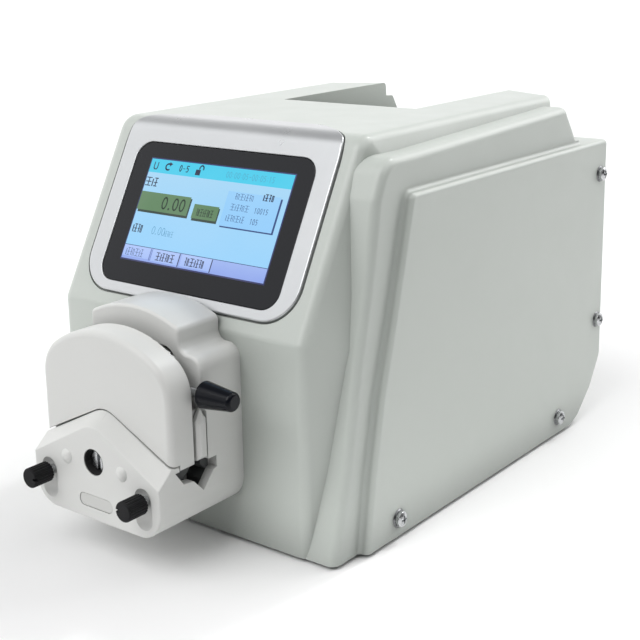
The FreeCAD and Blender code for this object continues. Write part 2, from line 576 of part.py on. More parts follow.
for sx in (-1, 1):
    x, z = INX + 20 * sx, INZ
    k = cy(1.6, RY0 - 5.0, RY1 + 2.7, x, z).fuse(cy(2.9, RY1 + 2.65, RY1 + 3.6, x, z)).fuse(
        Part.makeCone(2.9, 1.9, 0.8, V(x, RY1 + 3.6, z), V(0, 1, 0)))
    k = k.cut(box(x - 0.4, x + 0.4, RY1 + 3.4, RY1 + 6, z - 1.5, z + 1.5)).cut(box(x - 1.5, x + 1.5, RY1 + 3.4, RY1 + 6, z - 0.4, z + 0.4))
    k = k.fuse(xz([(x + 3.1 * math.cos(math.radians(60 * i)), z + 3.1 * math.sin(math.radians(60 * i))) for i in range(6)], RY0 - 3.0, RY0 - 0.15))
    iscr.append(k.removeSplitter())
put("rear_panel_screws", comp(*(rs + fs + iscr)))
fd = box(INX - 10.8, INX + 10.8, RY0 - 19.5, RY1 + 3.6, INZ - 20.8, INZ - 10.8)
fd = fd.cut(box(INX - 9.6, INX + 9.6, RY0 - 18.0, RY1 + 0.6, INZ - 18.3, INZ - 9.0))
fd = fd.cut(box(INX - 4.0, INX + 4.0, RY1 + 2.4, RY1 + 5, INZ - 13.2, INZ - 12.0))
put("fuse_drawer", fd)
fuse_s = cx(2.6, INX - 9.2, INX - 4.8, RY0 - 10.0, INZ - 15.5).fuse(cx(2.6, INX + 4.8, INX + 9.2, RY0 - 10.0, INZ - 15.5)).fuse(
    cx(2.35, INX - 5.0, INX + 5.0, RY0 - 10.0, INZ - 15.5))
put("glass_fuse", fuse_s.removeSplitter())

# rocker power switch
sf = box(SWX - 9.4, SWX + 9.4, RY0 - 14.0, RY1 + 0.1, SWZ - 6.4, SWZ + 6.4).fuse(
    xz([(SWX - 10.5, SWZ - 7.5, 1.2), (SWX + 10.5, SWZ - 7.5, 1.2), (SWX + 10.5, SWZ + 7.5, 1.2), (SWX - 10.5, SWZ + 7.5, 1.2)], RY1 + 0.05, RY1 + 2.0))
sf = sf.cut(box(SWX - 7.9, SWX + 7.9, RY0 - 8.0, RY1 + 4, SWZ - 5.0, SWZ + 5.0))
RKY = RY1 - 1.0
sf = sf.cut(cz(1.25, SWZ - 6.0, SWZ + 6.0, SWX, RKY))
for dx in (-6.0, 0.0, 6.0):
    sf = sf.fuse(box(SWX + dx - 0.4, SWX + dx + 0.4, RY0 - 22.0, RY0 - 13.9, SWZ - 2.4, SWZ + 2.4))
put("power_switch_frame", sf.removeSplitter())
# rocker on an upright pin, tilted 7 degrees at rest; its outer face is a shallow V
rk = xy([(-6.9, 3.3, 0.7), (0, 2.2, 8.0), (6.9, 3.3, 0.7), (5.9, -1.0, 1.0), (0, -4.2, 2.5), (-5.9, -1.0, 1.0)], -4.7, 4.7)
rk = rk.fuse(cz(1.2, -5.8, 5.8, 0, 0)).removeSplitter()
rk.rotate(V(0, 0, 0), V(0, 0, 1), 7.0)
rk.translate(V(SWX, RKY, SWZ))
put("power_rocker", rk)

# D-sub control socket and earth stud
db = xz([(DBX - 12.6, DBZ + 4.7, 2), (DBX - 10.7, DBZ - 4.7, 2), (DBX + 10.7, DBZ - 4.7, 2), (DBX + 12.6, DBZ + 4.7, 2)], RY0 - 9.0, RY1 + 5.6)
db = db.cut(xz([(DBX - 11.9, DBZ + 4.0, 1.5), (DBX - 10.1, DBZ - 4.0, 1.5), (DBX + 10.1, DBZ - 4.0, 1.5), (DBX + 11.9, DBZ + 4.0, 1.5)], RY1 - 0.5, RY1 + 8))
db = db.fuse(xz([(DBX - 19.6, DBZ - 6.2, 1.5), (DBX + 19.6, DBZ - 6.2, 1.5), (DBX + 19.6, DBZ + 6.2, 1.5), (DBX - 19.6, DBZ + 6.2, 1.5)], RY1 + 0.05, RY1 + 0.9).cut(
    xz([(DBX - 11.9, DBZ + 4.0, 1.5), (DBX - 10.1, DBZ - 4.0, 1.5), (DBX + 10.1, DBZ - 4.0, 1.5), (DBX + 11.9, DBZ + 4.0, 1.5)], RY1 - 0.5, RY1 + 8)))
for i in range(8):
    db = db.fuse(cy(0.5, RY1 - 1.0, RY1 + 4.4, DBX - 9.7 + 2.77 * i, DBZ + 1.42))
for i in range(7):
    db = db.fuse(cy(0.5, RY1 - 1.0, RY1 + 4.4, DBX - 8.31 + 2.77 * i, DBZ - 1.42))
for sx in (-1, 1):
    db = db.cut(cy(1.65, 250, 275, DBX + 16.65 * sx, DBZ))
put("control_socket", db.removeSplitter())
jk = []
for sx in (-1, 1):
    x, z = DBX + 16.65 * sx, DBZ
    k = xz([(x + 2.7 * math.cos(math.radians(60 * i)), z + 2.7 * math.sin(math.radians(60 * i))) for i in range(6)], RY1 + 0.95, RY1 + 5.6)
    k = k.fuse(cy(1.55, RY0 - 4.0, RY1 + 1.0, x, z)).cut(cy(1.3, RY1 + 1.5, RY1 + 6, x, z))
    jk.append(k)
put("socket_jackscrews", comp(*jk))
gs = cy(2.0, RY0 - 7.0, RY1 + 5.5, GSX, GSZ)
for (y0, y1, r) in ((RY0 - 3.5, RY0 - 0.1, 4.0), (RY1 + 0.1, RY1 + 3.3, 4.0)):
    gs = gs.fuse(xz([(GSX + r * math.cos(math.radians(60 * i)), GSZ + r * math.sin(math.radians(60 * i))) for i in range(6)], y0, y1))
put("earth_stud", gs.removeSplitter())

# ------------------------------------------------------------ drive inside
mb = box(-45, 45, 3.35, 6.1, 4.1, 100).fuse(box(-45, 45, 3.35, 46.0, 4.1, 7.1)).removeSplitter()
mb = fillet(mb, 4.0, lambda e: abs(e.CenterOfMass.y - 4.725) < 0.01 and abs(e.CenterOfMass.z - 100) < 0.01 and abs(abs(e.CenterOfMass.x) - 45) < 0.01, "bracket corner")
mb = mb.cut(cy(19.3, 0, 10, 0, AX_Z))
MS = [(sx * 23.57, AX_Z + sz * 23.57) for sx in (-1, 1) for sz in (-1, 1)]
for (x, z) in MS:
    mb = mb.cut(cy(2.05, 0, 10, x, z))
for (x, z) in HM:
    mb = mb.cut(cy(2.25, 0, 10, x, z))
put("motor_bracket", mb)
OCT = 12.5           # half length of the flats of the motor's eight-sided body
mt = xz([(-28.2, AX_Z - 28.2, 4), (28.2, AX_Z - 28.2, 4), (28.2, AX_Z + 28.2, 4), (-28.2, AX_Z + 28.2, 4)], 6.15, 11.0)
core = xz([(-28.2, AX_Z - OCT, 0), (-OCT, AX_Z - 28.2, 0), (OCT, AX_Z - 28.2, 0), (28.2, AX_Z - OCT, 0), (28.2, AX_Z + OCT, 0), (OCT, AX_Z + 28.2, 0), (-OCT, AX_Z + 28.2, 0), (-28.2, AX_Z + OCT, 0)], 11.0, 66.0)
mt = mt.fuse(core).fuse(xz([(-28.2, AX_Z - OCT, 0), (-OCT, AX_Z - 28.2, 0), (OCT, AX_Z - 28.2, 0), (28.2, AX_Z - OCT, 0), (28.2, AX_Z + OCT, 0), (OCT, AX_Z + 28.2, 0), (-OCT, AX_Z + 28.2, 0), (-28.2, AX_Z + OCT, 0)], 66.0, 82.0))
mt = mt.fuse(cy(19.05, 4.6, 6.3, 0, AX_Z)).cut(cy(4.2, 0, 78.0, 0, AX_Z))
for (x, z) in MS:
    mt = mt.cut(cy(2.2, 0, 11.5, x, z))
put("drive_motor", mt.removeSplitter())
ms = []
for (x, z) in MS:
    ms.append(cy(2.0, 3.5, 11.2, x, z).fuse(cy(3.5, 11.05, 14.6, x, z)).cut(
        xz([(x + 1.7 * math.cos(math.radians(60 * i)), z + 1.7 * math.sin(math.radians(60 * i))) for i in range(6)], 12.6, 16)))
hs = []
for (x, z) in HM:
    hs.append(cy(2.0, -11.0, 6.4, x, z).fuse(cy(3.5, 6.2, 9.8, x, z)).cut(
        xz([(x + 1.7 * math.cos(math.radians(60 * i)), z + 1.7 * math.sin(math.radians(60 * i))) for i in range(6)], 7.8, 12)))
put("drive_screws", comp(*(ms + hs)))

ps = box(-90.0, -4.0, 128.0, 222.0, 8.0, 9.5).fuse(box(-90.0, -88.5, 128.0, 222.0, 8.0, 46.0)).fuse(box(-5.5, -4.0, 128.0, 222.0, 8.0, 46.0))
ps = ps.fuse(box(-88.0, -6.0, 138.0, 220.0, 13.0, 14.6)).fuse(box(-84, -80, 140, 144, 9, 13.2)).fuse(box(-14, -10, 212, 216, 9, 13.2))
ps = ps.fuse(box(-60, -34, 160, 186, 14.5, 36.0)).fuse(cz(8, 14.5, 40, -72, 200)).fuse(cz(6, 14.5, 34, -22, 150)).fuse(cz(6, 14.5, 34, -22, 166))
ps = ps.fuse(box(-86, -30, 138.5, 146.0, 14.5, 26.0)).fuse(box(-7.2, -5.4, 170, 200, 20, 40))
ps = ps.fuse(cz(3, 4.05, 8.1, -80, 136)).fuse(cz(3, 4.05, 8.1, -14, 136)).fuse(cz(3, 4.05, 8.1, -80, 200)).fuse(cz(3, 4.05, 8.1, -14, 214))
put("power_supply", ps.removeSplitter())
cb = box(8.0, 92.0, 112.0, 228.0 - 1, 14.05, 15.65)
for (x, y) in STB:
    cb = cb.cut(cz(1.6, 10, 20, x, y))
for (x, y, w, d, h) in [(50, 170, 20, 20, 1.6), (30, 150, 10, 12, 2.5), (70, 145, 12, 8, 2.5), (26, 200, 16, 8, 9), (60, 212, 30, 8, 9), (84, 175, 6, 26, 8)]:
    cb = cb.fuse(box(x - w / 2, x + w / 2, y - d / 2, y + d / 2, 15.6, 15.65 + h))
for (x, y) in [(30, 175), (42, 130), (72, 190), (80, 135)]:
    cb = cb.fuse(cz(4, 15.6, 26.0, x, y))
put("controller_board", cb.removeSplitter())
st = []
for (x, y) in STB:
    st.append(xy([(x + 3.0 * math.cos(math.radians(60 * i)), y + 3.0 * math.sin(math.radians(60 * i))) for i in range(6)], 4.05, 14.0).fuse(cz(1.5, 2.0, 4.2, x, y)).fuse(cz(1.5, 13.9, 18.0, x, y)).fuse(cz(2.8, 15.7, 17.6, x, y)))
put("board_spacers", comp(dspc, *st))
# ------------------------------------------------------------ pump head frame
def head_outline(y0, y1):
    arch = cy(65.0, y0, y1, 0, 52.4).common(box(-29, 29, y0, y1, 80, 130))
    low = box(-HX, HX, y0, y1, 19.5, 99.3)
    s = fuse(low, arch)
    def at(x, z, tol=0.6):
        return lambda e: abs(abs(e.CenterOfMass.x) - x) < tol and abs(e.CenterOfMass.z - z) < tol and len(e.Vertexes) == 2 and abs(e.Vertexes[0].Y - e.Vertexes[1].Y) > 0.5
    s = fillet(s, LOW_R, at(HX, 19.5), "head lower corners")
    s = fillet(s, 6.5, at(HX, 99.3), "head shoulder")
    s = fillet(s, 5.0, at(29.0, 99.3), "head shoulder hollow")
    s = fillet(s, 3.0, at(29.0, 110.57), "head arch corner")
    return s


def vee(y, g=0.0):
    """Outline of the chin at depth y: an inverted V above a rounded base."""
    t = (y - Y_CHIN) / (Y_PLATE0 - Y_CHIN)
    zc, za = 45.0 + 7.2 * t, 66.0 + 5.4 * t
    # sharp apex lies above the rounded one
    k = (za - zc) / HX * 1.0
    r = 14.0
    zs = zc + (za - zc) * 1.06 + 0.8
    return [(-HX, 19.5, LOW_R), (HX, 19.5, LOW_R), (HX, zc + g, 1.2), (0, zs + g, r), (-HX, zc + g, 1.2)]


hf = head_outline(Y_REARB, 0.0)
hf = fillet(hf, 1.6, on_y(Y_REARB), "rear body front rim")
low = xz([(-HX, 19.5, LOW_R), (HX, 19.5, LOW_R), (HX, 50.0), (-HX, 50.0)], Y_PLATE0, Y_REARB + 2)
fwall = xz(vee(Y_PLATE0), Y_PLATE0, CAV_Y0)
wa = rwire(vee(Y_CHIN), lambda u, v: V(u, Y_CHIN, v))
wb = rwire(vee(Y_PLATE0), lambda u, v: V(u, Y_PLATE0, v))
chin = Part.makeLoft([wa, wb], True, True)
chin = fillet(chin, 1.3, on_y(Y_CHIN), "chin rim")
hf = hf.fuse(low).fuse(fwall).fuse(chin).removeSplitter()
print("head", hf.isValid(), len(hf.Solids))
# rotor chamber
hf = hf.cut(cy(CAV_R, CAV_Y0, CAV_Y1, 0, AX_Z))
# guide way of the upper block in the rear body
BX, BTOP, BED_TR = 27.0, 95.0, 8.0
hf = hf.cut(xz([(-BX - 0.08, AX_Z), (BX + 0.08, AX_Z), (BX + 0.08, BTOP + LIFT + 0.6, BED_TR), (-BX - 0.08, BTOP + LIFT + 0.6, BED_TR)],
               Y_REARB - 3, CAV_Y1 + 0.4))
# bearings and shaft
hf = cut(hf, cy(6.5, Y_CHIN - 1, -48.0, 0, AX_Z), cy(9.52, -49.0, CAV_Y0 + 1, 0, AX_Z),
         cy(11.02, CAV_Y1 - 1, -6.0, 0, AX_Z), cy(8.0, -7.0, 1.0, 0, AX_Z))
hf = cut(hf, cy(6.0, CAV_Y1 - 1, -1.5, 0, CAM_Z))
# clamp pockets, tube ways and side notches
NOTCH = [(-18.5, 50.0), (-18.5, 44.4), (-20.9, 43.6), (-27.8, 35.8), (-34.2, 42.4), (-40.7, 43.2), (-45.7, 50.0)]
for s in (1, -1):
    a, b = sorted((s * 27.2, s * 37.2))
    hf = hf.cut(box(a, b, -44.2, -18.9, 30.0, 50.0))
    a, b = sorted((s * 18.0, s * 28.0))
    hf = hf.cut(box(a, b, -34.0, -22.0, 38.5, 50.0))
    a, b = sorted((s * 36.9, s * 44.0))
    hf = hf.cut(yz(NOTCH, a, b))
    hf = hf.cut(cy(2.55, Y_CHIN - 1, -43.0, s * KNOB_X, KNOB_Z))
    # finger hollow under the knob
    ax = cz(6.6, 29.0, 39.0, s * 31.6, -60.6)
    hf = hf.cut(ax.fuse(Part.makeSphere(6.6, V(s * 31.6, -60.6, 39.0))).fuse(Part.makeSphere(6.6, V(s * 31.6, -60.6, 29.0))))
    # recess of the side guide
    a, b = sorted((s * 39.6, s * 44.0))
    hf = hf.cut(yz([(-30, 50.0), (-24.0, 50.0), (-24.0, 73.0), (-27.0, 77.0), (-30, 77.0)], a, b))
    hf = hf.cut(cy(2.0, Y_CHIN - 1, -52.5, s * 18.5, 47.8))
for (x, z) in HM:
    hf = hf.cut(cy(2.02, -12.0, 1, x, z))
    hf = hf.cut(Part.makeCone(2.02, 3.0, 1.0, V(x, -0.99, z), V(0, 1, 0)))
for s in (-1, 1):
    hf = hf.cut(cz(2.0, 90.0, 107.0, s * 21.0, -20.0))
hf = hf.cut(xz([(-11.1, 25.6, 3.0), (11.1, 25.6, 3.0), (11.1, 32.2, 3.0), (-11.1, 32.2, 3.0)], Y_CHIN - 1, Y_CHIN + 0.6))
hf = max(hf.Solids, key=lambda k: k.Volume)
put("head_frame", hf)
put("guide_pins", comp(*[cz(1.99, 83.0, 107.0, s * 21.0, -20.0) for s in (-1, 1)]))
put("label_plate", xz([(-10.8, 25.9, 2.7), (10.8, 25.9, 2.7), (10.8, 31.9, 2.7), (-10.8, 31.9, 2.7)], Y_CHIN + 0.2, Y_CHIN + 0.6))
caps = []
for s in (-1, 1):
    d = Part.makeSphere(4.6, V(s * 18.5, Y_CHIN + 2.9, 47.8)).common(cy(6, Y_CHIN - 5, Y_CHIN, s * 18.5, 47.8))
    caps.append(d.fuse(cy(1.95, Y_CHIN - 0.5, -53.0, s * 18.5, 47.8)).removeSplitter())
put("boss_caps", comp(*caps))
gd = []
for s in (-1, 1):
    a, b = sorted((s * 39.65, s * 42.8))
    g = yz([(-31.2, 51.2, 1.0), (-24.3, 51.2, 1.0), (-24.3, 70.0, 1.5), (-27.3, 75.6, 0.6), (-28.6, 75.6, 0.6), (-31.2, 70.0, 1.5)], a, b)
    w1 = rwire([(-31.2, 51.2), (-24.3, 51.2), (-24.3, 70.0), (-27.9, 75.6), (-31.2, 70.0)], lambda u, v: V(s * 41.6, u, v))
    w2 = rwire([(-29.6, 53.2), (-26.3, 53.2), (-26.3, 68.0), (-27.9, 70.0), (-29.6, 68.0)], lambda u, v: V(s * 43.4, u, v))
    base_g = yz([(-31.2, 51.2), (-24.3, 51.2), (-24.3, 70.0), (-27.9, 75.6), (-31.2, 70.0)], *sorted((s * 39.65, s * 41.6)))
    gd.append(base_g.fuse(Part.makeLoft([w1, w2], True, True)).removeSplitter())
put("side_guides", comp(*gd))

def bearing(ro, ri, y0, y1, nb, x=0.0, z=AX_Z):
    rm, w = (ro + ri) / 2, y1 - y0
    o = ring_y(ro, rm + 0.22 * (ro - ri), y0, y1, x, z)
    i = ring_y(rm - 0.22 * (ro - ri), ri, y0, y1, x, z)
    web = ring_y(rm + 0.25 * (ro - ri), rm - 0.25 * (ro - ri), y0 + 0.35 * w, y1 - 0.35 * w, x, z)
    b = fuse(o, i, web)
    for k in range(nb):
        t = 2 * math.pi * k / nb
        b = b.fuse(Part.makeSphere(0.2 * (ro - ri), V(x + rm * math.cos(t), (y0 + y1) / 2, z + rm * math.sin(t))))
    return b.removeSplitter()


put("front_bearing", bearing(9.5, 5.03, -48.95, -43.95, 11))
put("rear_bearing", bearing(11.0, 5.03, -12.0, -6.05, 9))
put("cam_bush", ring_y(5.98, 3.54, -12.6, -1.6, 0, CAM_Z))

seats, jaws = [], {}
for s in (-1, 1):
    a, b = sorted((s * 27.5, s * 36.9))
    # fixed jaw behind the tube, with a level V groove facing it
    seat = yz([(-24.2, 30.1), (-19.0, 30.1), (-19.0, 49.6), (-24.2, 49.6), (-24.2, 46.0), (-21.0, 42.6), (-24.2, 39.2)], a, b)
    seats.append(seat)
    a, b = sorted((s * 27.6, s * 36.8))
    jaw = yz([(-43.8, 30.4), (-31.9, 30.4), (-31.9, 39.2), (-35.4, 42.6), (-31.9, 46.0), (-31.9, 49.2), (-36.0, 49.2), (-43.8, 49.2)], a, b)
    jaw = jaw.cut(cy(2.56, -46, -24, s * KNOB_X, KNOB_Z))
    jaw = jaw.cut(box(min(s * 29.4, s * 35.0), max(s * 29.4, s * 35.0), -42.0, -37.5, 44.5, 50.0))
    jaws[s] = jaw
put("clamp_seats", comp(*seats))
put("tube_clamp_left", jaws[-1])
put("tube_clamp_right", jaws[1])
for s, nm in ((-1, "left"), (1, "right")):
    x = s * KNOB_X
    sc = cy(2.5, -66.0, -33.0, x, KNOB_Z)
    sc = sc.fuse(cy(3.6, -58.0, -56.65, x, KNOB_Z))
    put("clamp_screw_" + nm, sc.removeSplitter())
    k = cy(KNOB_R, -69.0, -58.05, x, KNOB_Z)
    k = fillet(k, 0.9, lambda e: abs(e.CenterOfMass.y + 69.0) < 0.01 and e.Length > 5, "knob rim")
    for i in range(20):
        t = 2 * math.pi * i / 20
        k = k.cut(cy(0.38, -68.3, -57.0, x + (KNOB_R + 0.12) * math.cos(t), KNOB_Z + (KNOB_R + 0.12) * math.sin(t)))
    k = k.cut(cy(2.52, -66.05, -50.0, x, KNOB_Z))
    # index slot on the end face
    k = k.cut(box(x - 6, x - 2.6, -70, -67.6, KNOB_Z - 0.6, KNOB_Z + 0.6)) if s > 0 else k.cut(box(x + 2.6, x + 6, -70, -67.6, KNOB_Z - 0.6, KNOB_Z + 0.6))
    put("clamp_knob_" + nm, k)

# ------------------------------------------------------------ upper block
def arch_pts(hw, za, R, rc):
    zc0 = za - R
    cxn = hw - rc
    zc = zc0 + math.sqrt((R - rc) ** 2 - cxn ** 2)
    tx, tz = cxn * R / (R - rc), zc0 + (zc - zc0) * R / (R - rc)
    am = math.atan2(tz - zc, tx - cxn) / 2
    return zc, (tx, tz), (cxn + rc * math.cos(am), zc + rc * math.sin(am))


def arch_solid(y0, y1, bottom, hw=42.3, za=109.5, R=60.0, rc=20.0):
    """bottom: list of (x, z) from the right lower corner to the left one."""
    zc, t, m = arch_pts(hw, za, R, rc)
    P = lambda u, v: V(u, y0, v)
    b = [(hw, bottom[0][1])] + list(bottom[1:-1]) + [(-hw, bottom[-1][1])]
    e = [Part.makeLine(P(-hw, b[-1][1]), P(-hw, zc)),
         Part.Arc(P(-hw, zc), P(-m[0], m[1]), P(-t[0], t[1])).toShape(),
         Part.Arc(P(-t[0], t[1]), P(0, za), P(t[0], t[1])).toShape(),
         Part.Arc(P(t[0], t[1]), P(m[0], m[1]), P(hw, zc)).toShape(),
         Part.makeLine(P(hw, zc), P(*b[0]))]
    for i in range(len(b) - 1):
        e.append(Part.makeLine(P(*b[i]), P(*b[i + 1])))
    return Part.Face(Part.Wire(e)).extrude(V(0, y1 - y0, 0))


plate = arch_solid(Y_PLATE0, Y_SLOT, [(42.3, 50.5), (-42.3, 50.5)])
def plate_rim(e):
    return on_y(Y_PLATE0)(e) and e.CenterOfMass.z > 51
plate = fillet(plate, 3.2, plate_rim, "plate rim")
plate = fillet(plate, 1.0, lambda e: on_y(Y_SLOT)(e) and e.CenterOfMass.z > 51, "plate rear rim")
vcut = xz([(-60, 10), (60, 10), (60, vee(Y_PLATE0)[2][1] - (60 - HX) * 0.46 + 0.45), (0, vee(Y_PLATE0)[3][1] + 0.45, 14.0), (-60, vee(Y_PLATE0)[2][1] - (60 - HX) * 0.46 + 0.45)], Y_PLATE0 - 5, CAV_Y0 + 0.4)
plate = plate.cut(vcut)
web = box(-39.3, 39.3, Y_SLOT - 1, Y_REARB - 0.3, 50.5, 75.0).cut(box(-7.5, 7.5, Y_SLOT, Y_REARB, 72.6, 80))
bedb = xz([(-BX, 50.5), (BX, 50.5), (BX, BTOP, BED_TR), (-BX, BTOP, BED_TR)], Y_REARB - 1, CAV_Y1).cut(box(-BX - 1, BX + 1, Y_SLOT, Y_REARB - 0.3, 75.0, BTOP + 1))
ub = plate.fuse(web).fuse(bedb)
# clearance for the hub of the cam shaft
ub = ub.cut(box(-7.5, 7.5, Y_SLOT, Y_REARB - 0.2, 72.6, 80))
ub = cut(ub, cy(BED_R, CAV_Y0, CAV_Y1 + 1, 0, AX_Z))
# lead-in chamfers of the tube bed
for s in (1, -1):
    w = xz([(s * 20.0, 49.0), (s * 27.3, 49.0), (s * 27.3, 50.8), (s * 20.5, 58.0)], -43.0, CAV_Y1 + 1)
    ub = ub.cut(w)
# window in which the cam turns
ub = ub.cut(box(-12.0, 12.0, Y_REARB - 0.31, CAV_Y1 + 1, CAM_Z - 11.2, CAM_Z + CAM_P0 + 0.05 + 2.0))
# bores for the guide pins
for s in (-1, 1):
    ub = ub.cut(cz(2.06, 75.5, BTOP + 1, s * 21.0, -20.0))
ub = max(ub.removeSplitter().Solids, key=lambda k: k.Volume)
put("upper_block", ub)
put("cam_follower", box(-11.5, 11.5, -26.4, -13.6, CAM_Z + CAM_P0 + 0.05, CAM_Z + CAM_P0 + 2.05))

# ------------------------------------------------------------ cam and lever
pts = []
N = 24
for i in range(N + 1):
    th = math.pi * i / N
    phi = math.pi / 2 - th
    p, dp = CAM_P0 + CAM_RB * th, -CAM_RB
    pts.append((p * math.cos(phi) - dp * math.sin(phi), CAM_Z + p * math.sin(phi) + dp * math.cos(phi)))
cpts = [V(u, -25.8, v) for (u, v) in pts]
bs = Part.BSplineCurve(); bs.interpolate(cpts)
e = [bs.toShape(), Part.makeLine(cpts[-1], V(-3.2, -25.8, CAM_Z - 2.0)), Part.makeLine(V(-3.2, -25.8, CAM_Z - 2.0), V(-3.2, -25.8, CAM_Z + 1.8)),
     Part.makeLine(V(-3.2, -25.8, CAM_Z + 1.8), V(0.6, -25.8, CAM_Z + 3.98)), Part.makeLine(V(0.6, -25.8, CAM_Z + 3.98), cpts[0])]
cam = Part.Face(Part.Wire(e)).extrude(V(0, 11.8, 0))
sh = cy(3.5, -31.0, -2.0, 0, CAM_Z)
hubl = cy(4.9, -32.6, -27.4, 0, CAM_Z)
cams = fuse(sh, hubl, cam)
cams = cams.cut(cx(1.75, 0.0, 8.0, LEV_Y, CAM_Z))
print("cam support", round(cam.BoundBox.ZMin, 3), round(cam.BoundBox.ZMax, 3), round(cam.BoundBox.XMax, 3))
put("cam_shaft", cams)
rod = cx(1.7, 0.5, 6.0, LEV_Y, CAM_Z).fuse(cx(2.2, 5.2, 48.5, LEV_Y, CAM_Z)).fuse(cx(1.6, 48.4, 58.0, LEV_Y, CAM_Z))
put("lever_rod", rod.removeSplitter())
kb = Part.makeCone(6.6, 4.6, 17.0, V(46.2, LEV_Y, CAM_Z), V(1, 0, 0)).fuse(cx(4.6, 63.1, 65.2, LEV_Y, CAM_Z)).removeSplitter()
kb = fillet(kb, 1.9, lambda e: abs(e.CenterOfMass.x - 65.2) < 0.01, "lever knob end")
kb = fillet(kb, 1.2, lambda e: abs(e.CenterOfMass.x - 46.2) < 0.01, "lever knob base")
kb = kb.cut(cx(2.25, 40, 48.55, LEV_Y, CAM_Z)).cut(cx(1.63, 40, 58.2, LEV_Y, CAM_Z))
put("lever_knob", kb)

# ------------------------------------------------------------ rotor
sh = cy(5.0, -53.2, -4.6, 0, AX_Z)
sh = fillet(sh, 0.5, lambda e: abs(e.CenterOfMass.y + 53.2) < 0.01, "shaft end")
sh = sh.cut(box(-1.0, 1.0, -54, -50.9, AX_Z - 6, AX_Z + 6))
sh = sh.cut(box(-6, 6, -8.6, -4.0, AX_Z - 1.55, AX_Z + 1.55))
put("rotor_shaft", sh)
def carrier(y0, y1):
    d = cy(18.6, y0, y1, 0, AX_Z).cut(cy(5.02, y0 - 1, y1 + 1, 0, AX_Z))
    for k in range(3):
        t = math.radians(90 + 120 * k)
        d = d.cut(cy(2.02, y0 - 1, y1 + 1, ORBIT * math.cos(t), AX_Z + ORBIT * math.sin(t)))
        t = math.radians(30 + 120 * k)
        d = d.cut(cy(5.6, y0 - 1, y1 + 1, 20.0 * math.cos(t), AX_Z + 20.0 * math.sin(t)))
    return d
put("rotor_front_plate", carrier(-42.6, -39.4))
put("rotor_rear_plate", carrier(-16.9, -13.6))
put("rotor_spacer", ring_y(6.9, 5.03, -39.35, -16.95, 0, AX_Z))
pins = []
for k in range(3):
    t = math.radians(90 + 120 * k)
    x, z = ORBIT * math.cos(t), AX_Z + ORBIT * math.sin(t)
    pins.append(cy(2.0, -42.6, -13.6, x, z))
    rl = ring_y(ROLLER_R, 2.06, -39.0, -17.3, x, z)
    rl = fillet(rl, 1.0, lambda e: e.Length > 30 and (abs(e.CenterOfMass.y + 39.0) < 0.01 or abs(e.CenterOfMass.y + 17.3) < 0.01), "roller rim")
    put("roller_%d" % (k + 1), rl)
put("roller_pins", comp(*pins))
msh = cy(4.0, -4.4, 77.5, 0, AX_Z).fuse(box(-3.8, 3.8, -8.3, -4.2, AX_Z - 1.5, AX_Z + 1.5).common(cy(4.0, -9, -4, 0, AX_Z)))
put("motor_shaft", msh.removeSplitter())

lo = min(b[0] for b in BOX); hi = max(b[1] for b in BOX)
print(len(NODES), "nodes; depth runs", round(lo, 3), round(hi, 3), "middle", round((lo + hi) / 2, 3))
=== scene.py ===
import bpy, bmesh, json, math
import numpy as np
from mathutils import Matrix, Vector

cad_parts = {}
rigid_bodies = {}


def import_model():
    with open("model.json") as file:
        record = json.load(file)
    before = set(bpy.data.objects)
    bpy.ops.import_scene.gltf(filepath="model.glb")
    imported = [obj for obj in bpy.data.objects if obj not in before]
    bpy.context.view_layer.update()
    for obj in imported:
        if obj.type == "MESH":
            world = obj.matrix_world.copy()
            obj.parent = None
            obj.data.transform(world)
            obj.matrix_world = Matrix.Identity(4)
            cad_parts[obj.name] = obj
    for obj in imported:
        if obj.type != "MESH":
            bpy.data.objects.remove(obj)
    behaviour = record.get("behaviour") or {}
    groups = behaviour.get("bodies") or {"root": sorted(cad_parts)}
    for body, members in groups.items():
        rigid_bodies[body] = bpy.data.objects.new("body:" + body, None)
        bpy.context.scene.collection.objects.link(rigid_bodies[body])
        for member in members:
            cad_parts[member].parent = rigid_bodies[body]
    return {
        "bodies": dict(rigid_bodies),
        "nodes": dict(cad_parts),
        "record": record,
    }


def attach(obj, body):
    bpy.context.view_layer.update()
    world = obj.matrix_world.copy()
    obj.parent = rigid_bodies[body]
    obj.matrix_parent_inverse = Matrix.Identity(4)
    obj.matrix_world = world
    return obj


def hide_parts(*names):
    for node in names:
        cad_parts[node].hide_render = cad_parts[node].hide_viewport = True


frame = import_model()
for o in list(bpy.data.objects):
    if o not in frame["nodes"].values() and o not in frame["bodies"].values():
        bpy.data.objects.remove(o)
bpy.context.view_layer.update()
NODES = frame["nodes"]
SLOT_OF = {s["node"]: s.get("material_slot") for s in frame["record"].get("subparts", [])}
BODY_OF = {n: b for b, ns in frame["record"]["behaviour"]["bodies"].items() for n in ns}

# ------------------------------------------------------------ camera
CAM_AZ, CAM_EL, CAM_ROLL = math.radians(38.074), math.radians(13.765), math.radians(-1.046)
back = Vector((math.sin(CAM_AZ) * math.cos(CAM_EL), -math.cos(CAM_AZ) * math.cos(CAM_EL), math.sin(CAM_EL)))
right0 = Vector((math.cos(CAM_AZ), math.sin(CAM_AZ), 0.0))
up0 = back.cross(right0)
right = right0 * math.cos(CAM_ROLL) + up0 * math.sin(CAM_ROLL)
up = up0 * math.cos(CAM_ROLL) - right0 * math.sin(CAM_ROLL)
cam_data = bpy.data.cameras.new("camera")
cam = bpy.data.objects.new("camera", cam_data)
bpy.context.scene.collection.objects.link(cam)
cam_data.lens, cam_data.sensor_width, cam_data.sensor_fit = 70.265, 36.0, "HORIZONTAL"
cam_data.shift_x, cam_data.shift_y = 0.0, -0.09375
cam_data.clip_start, cam_data.clip_end = 0.02, 60.0
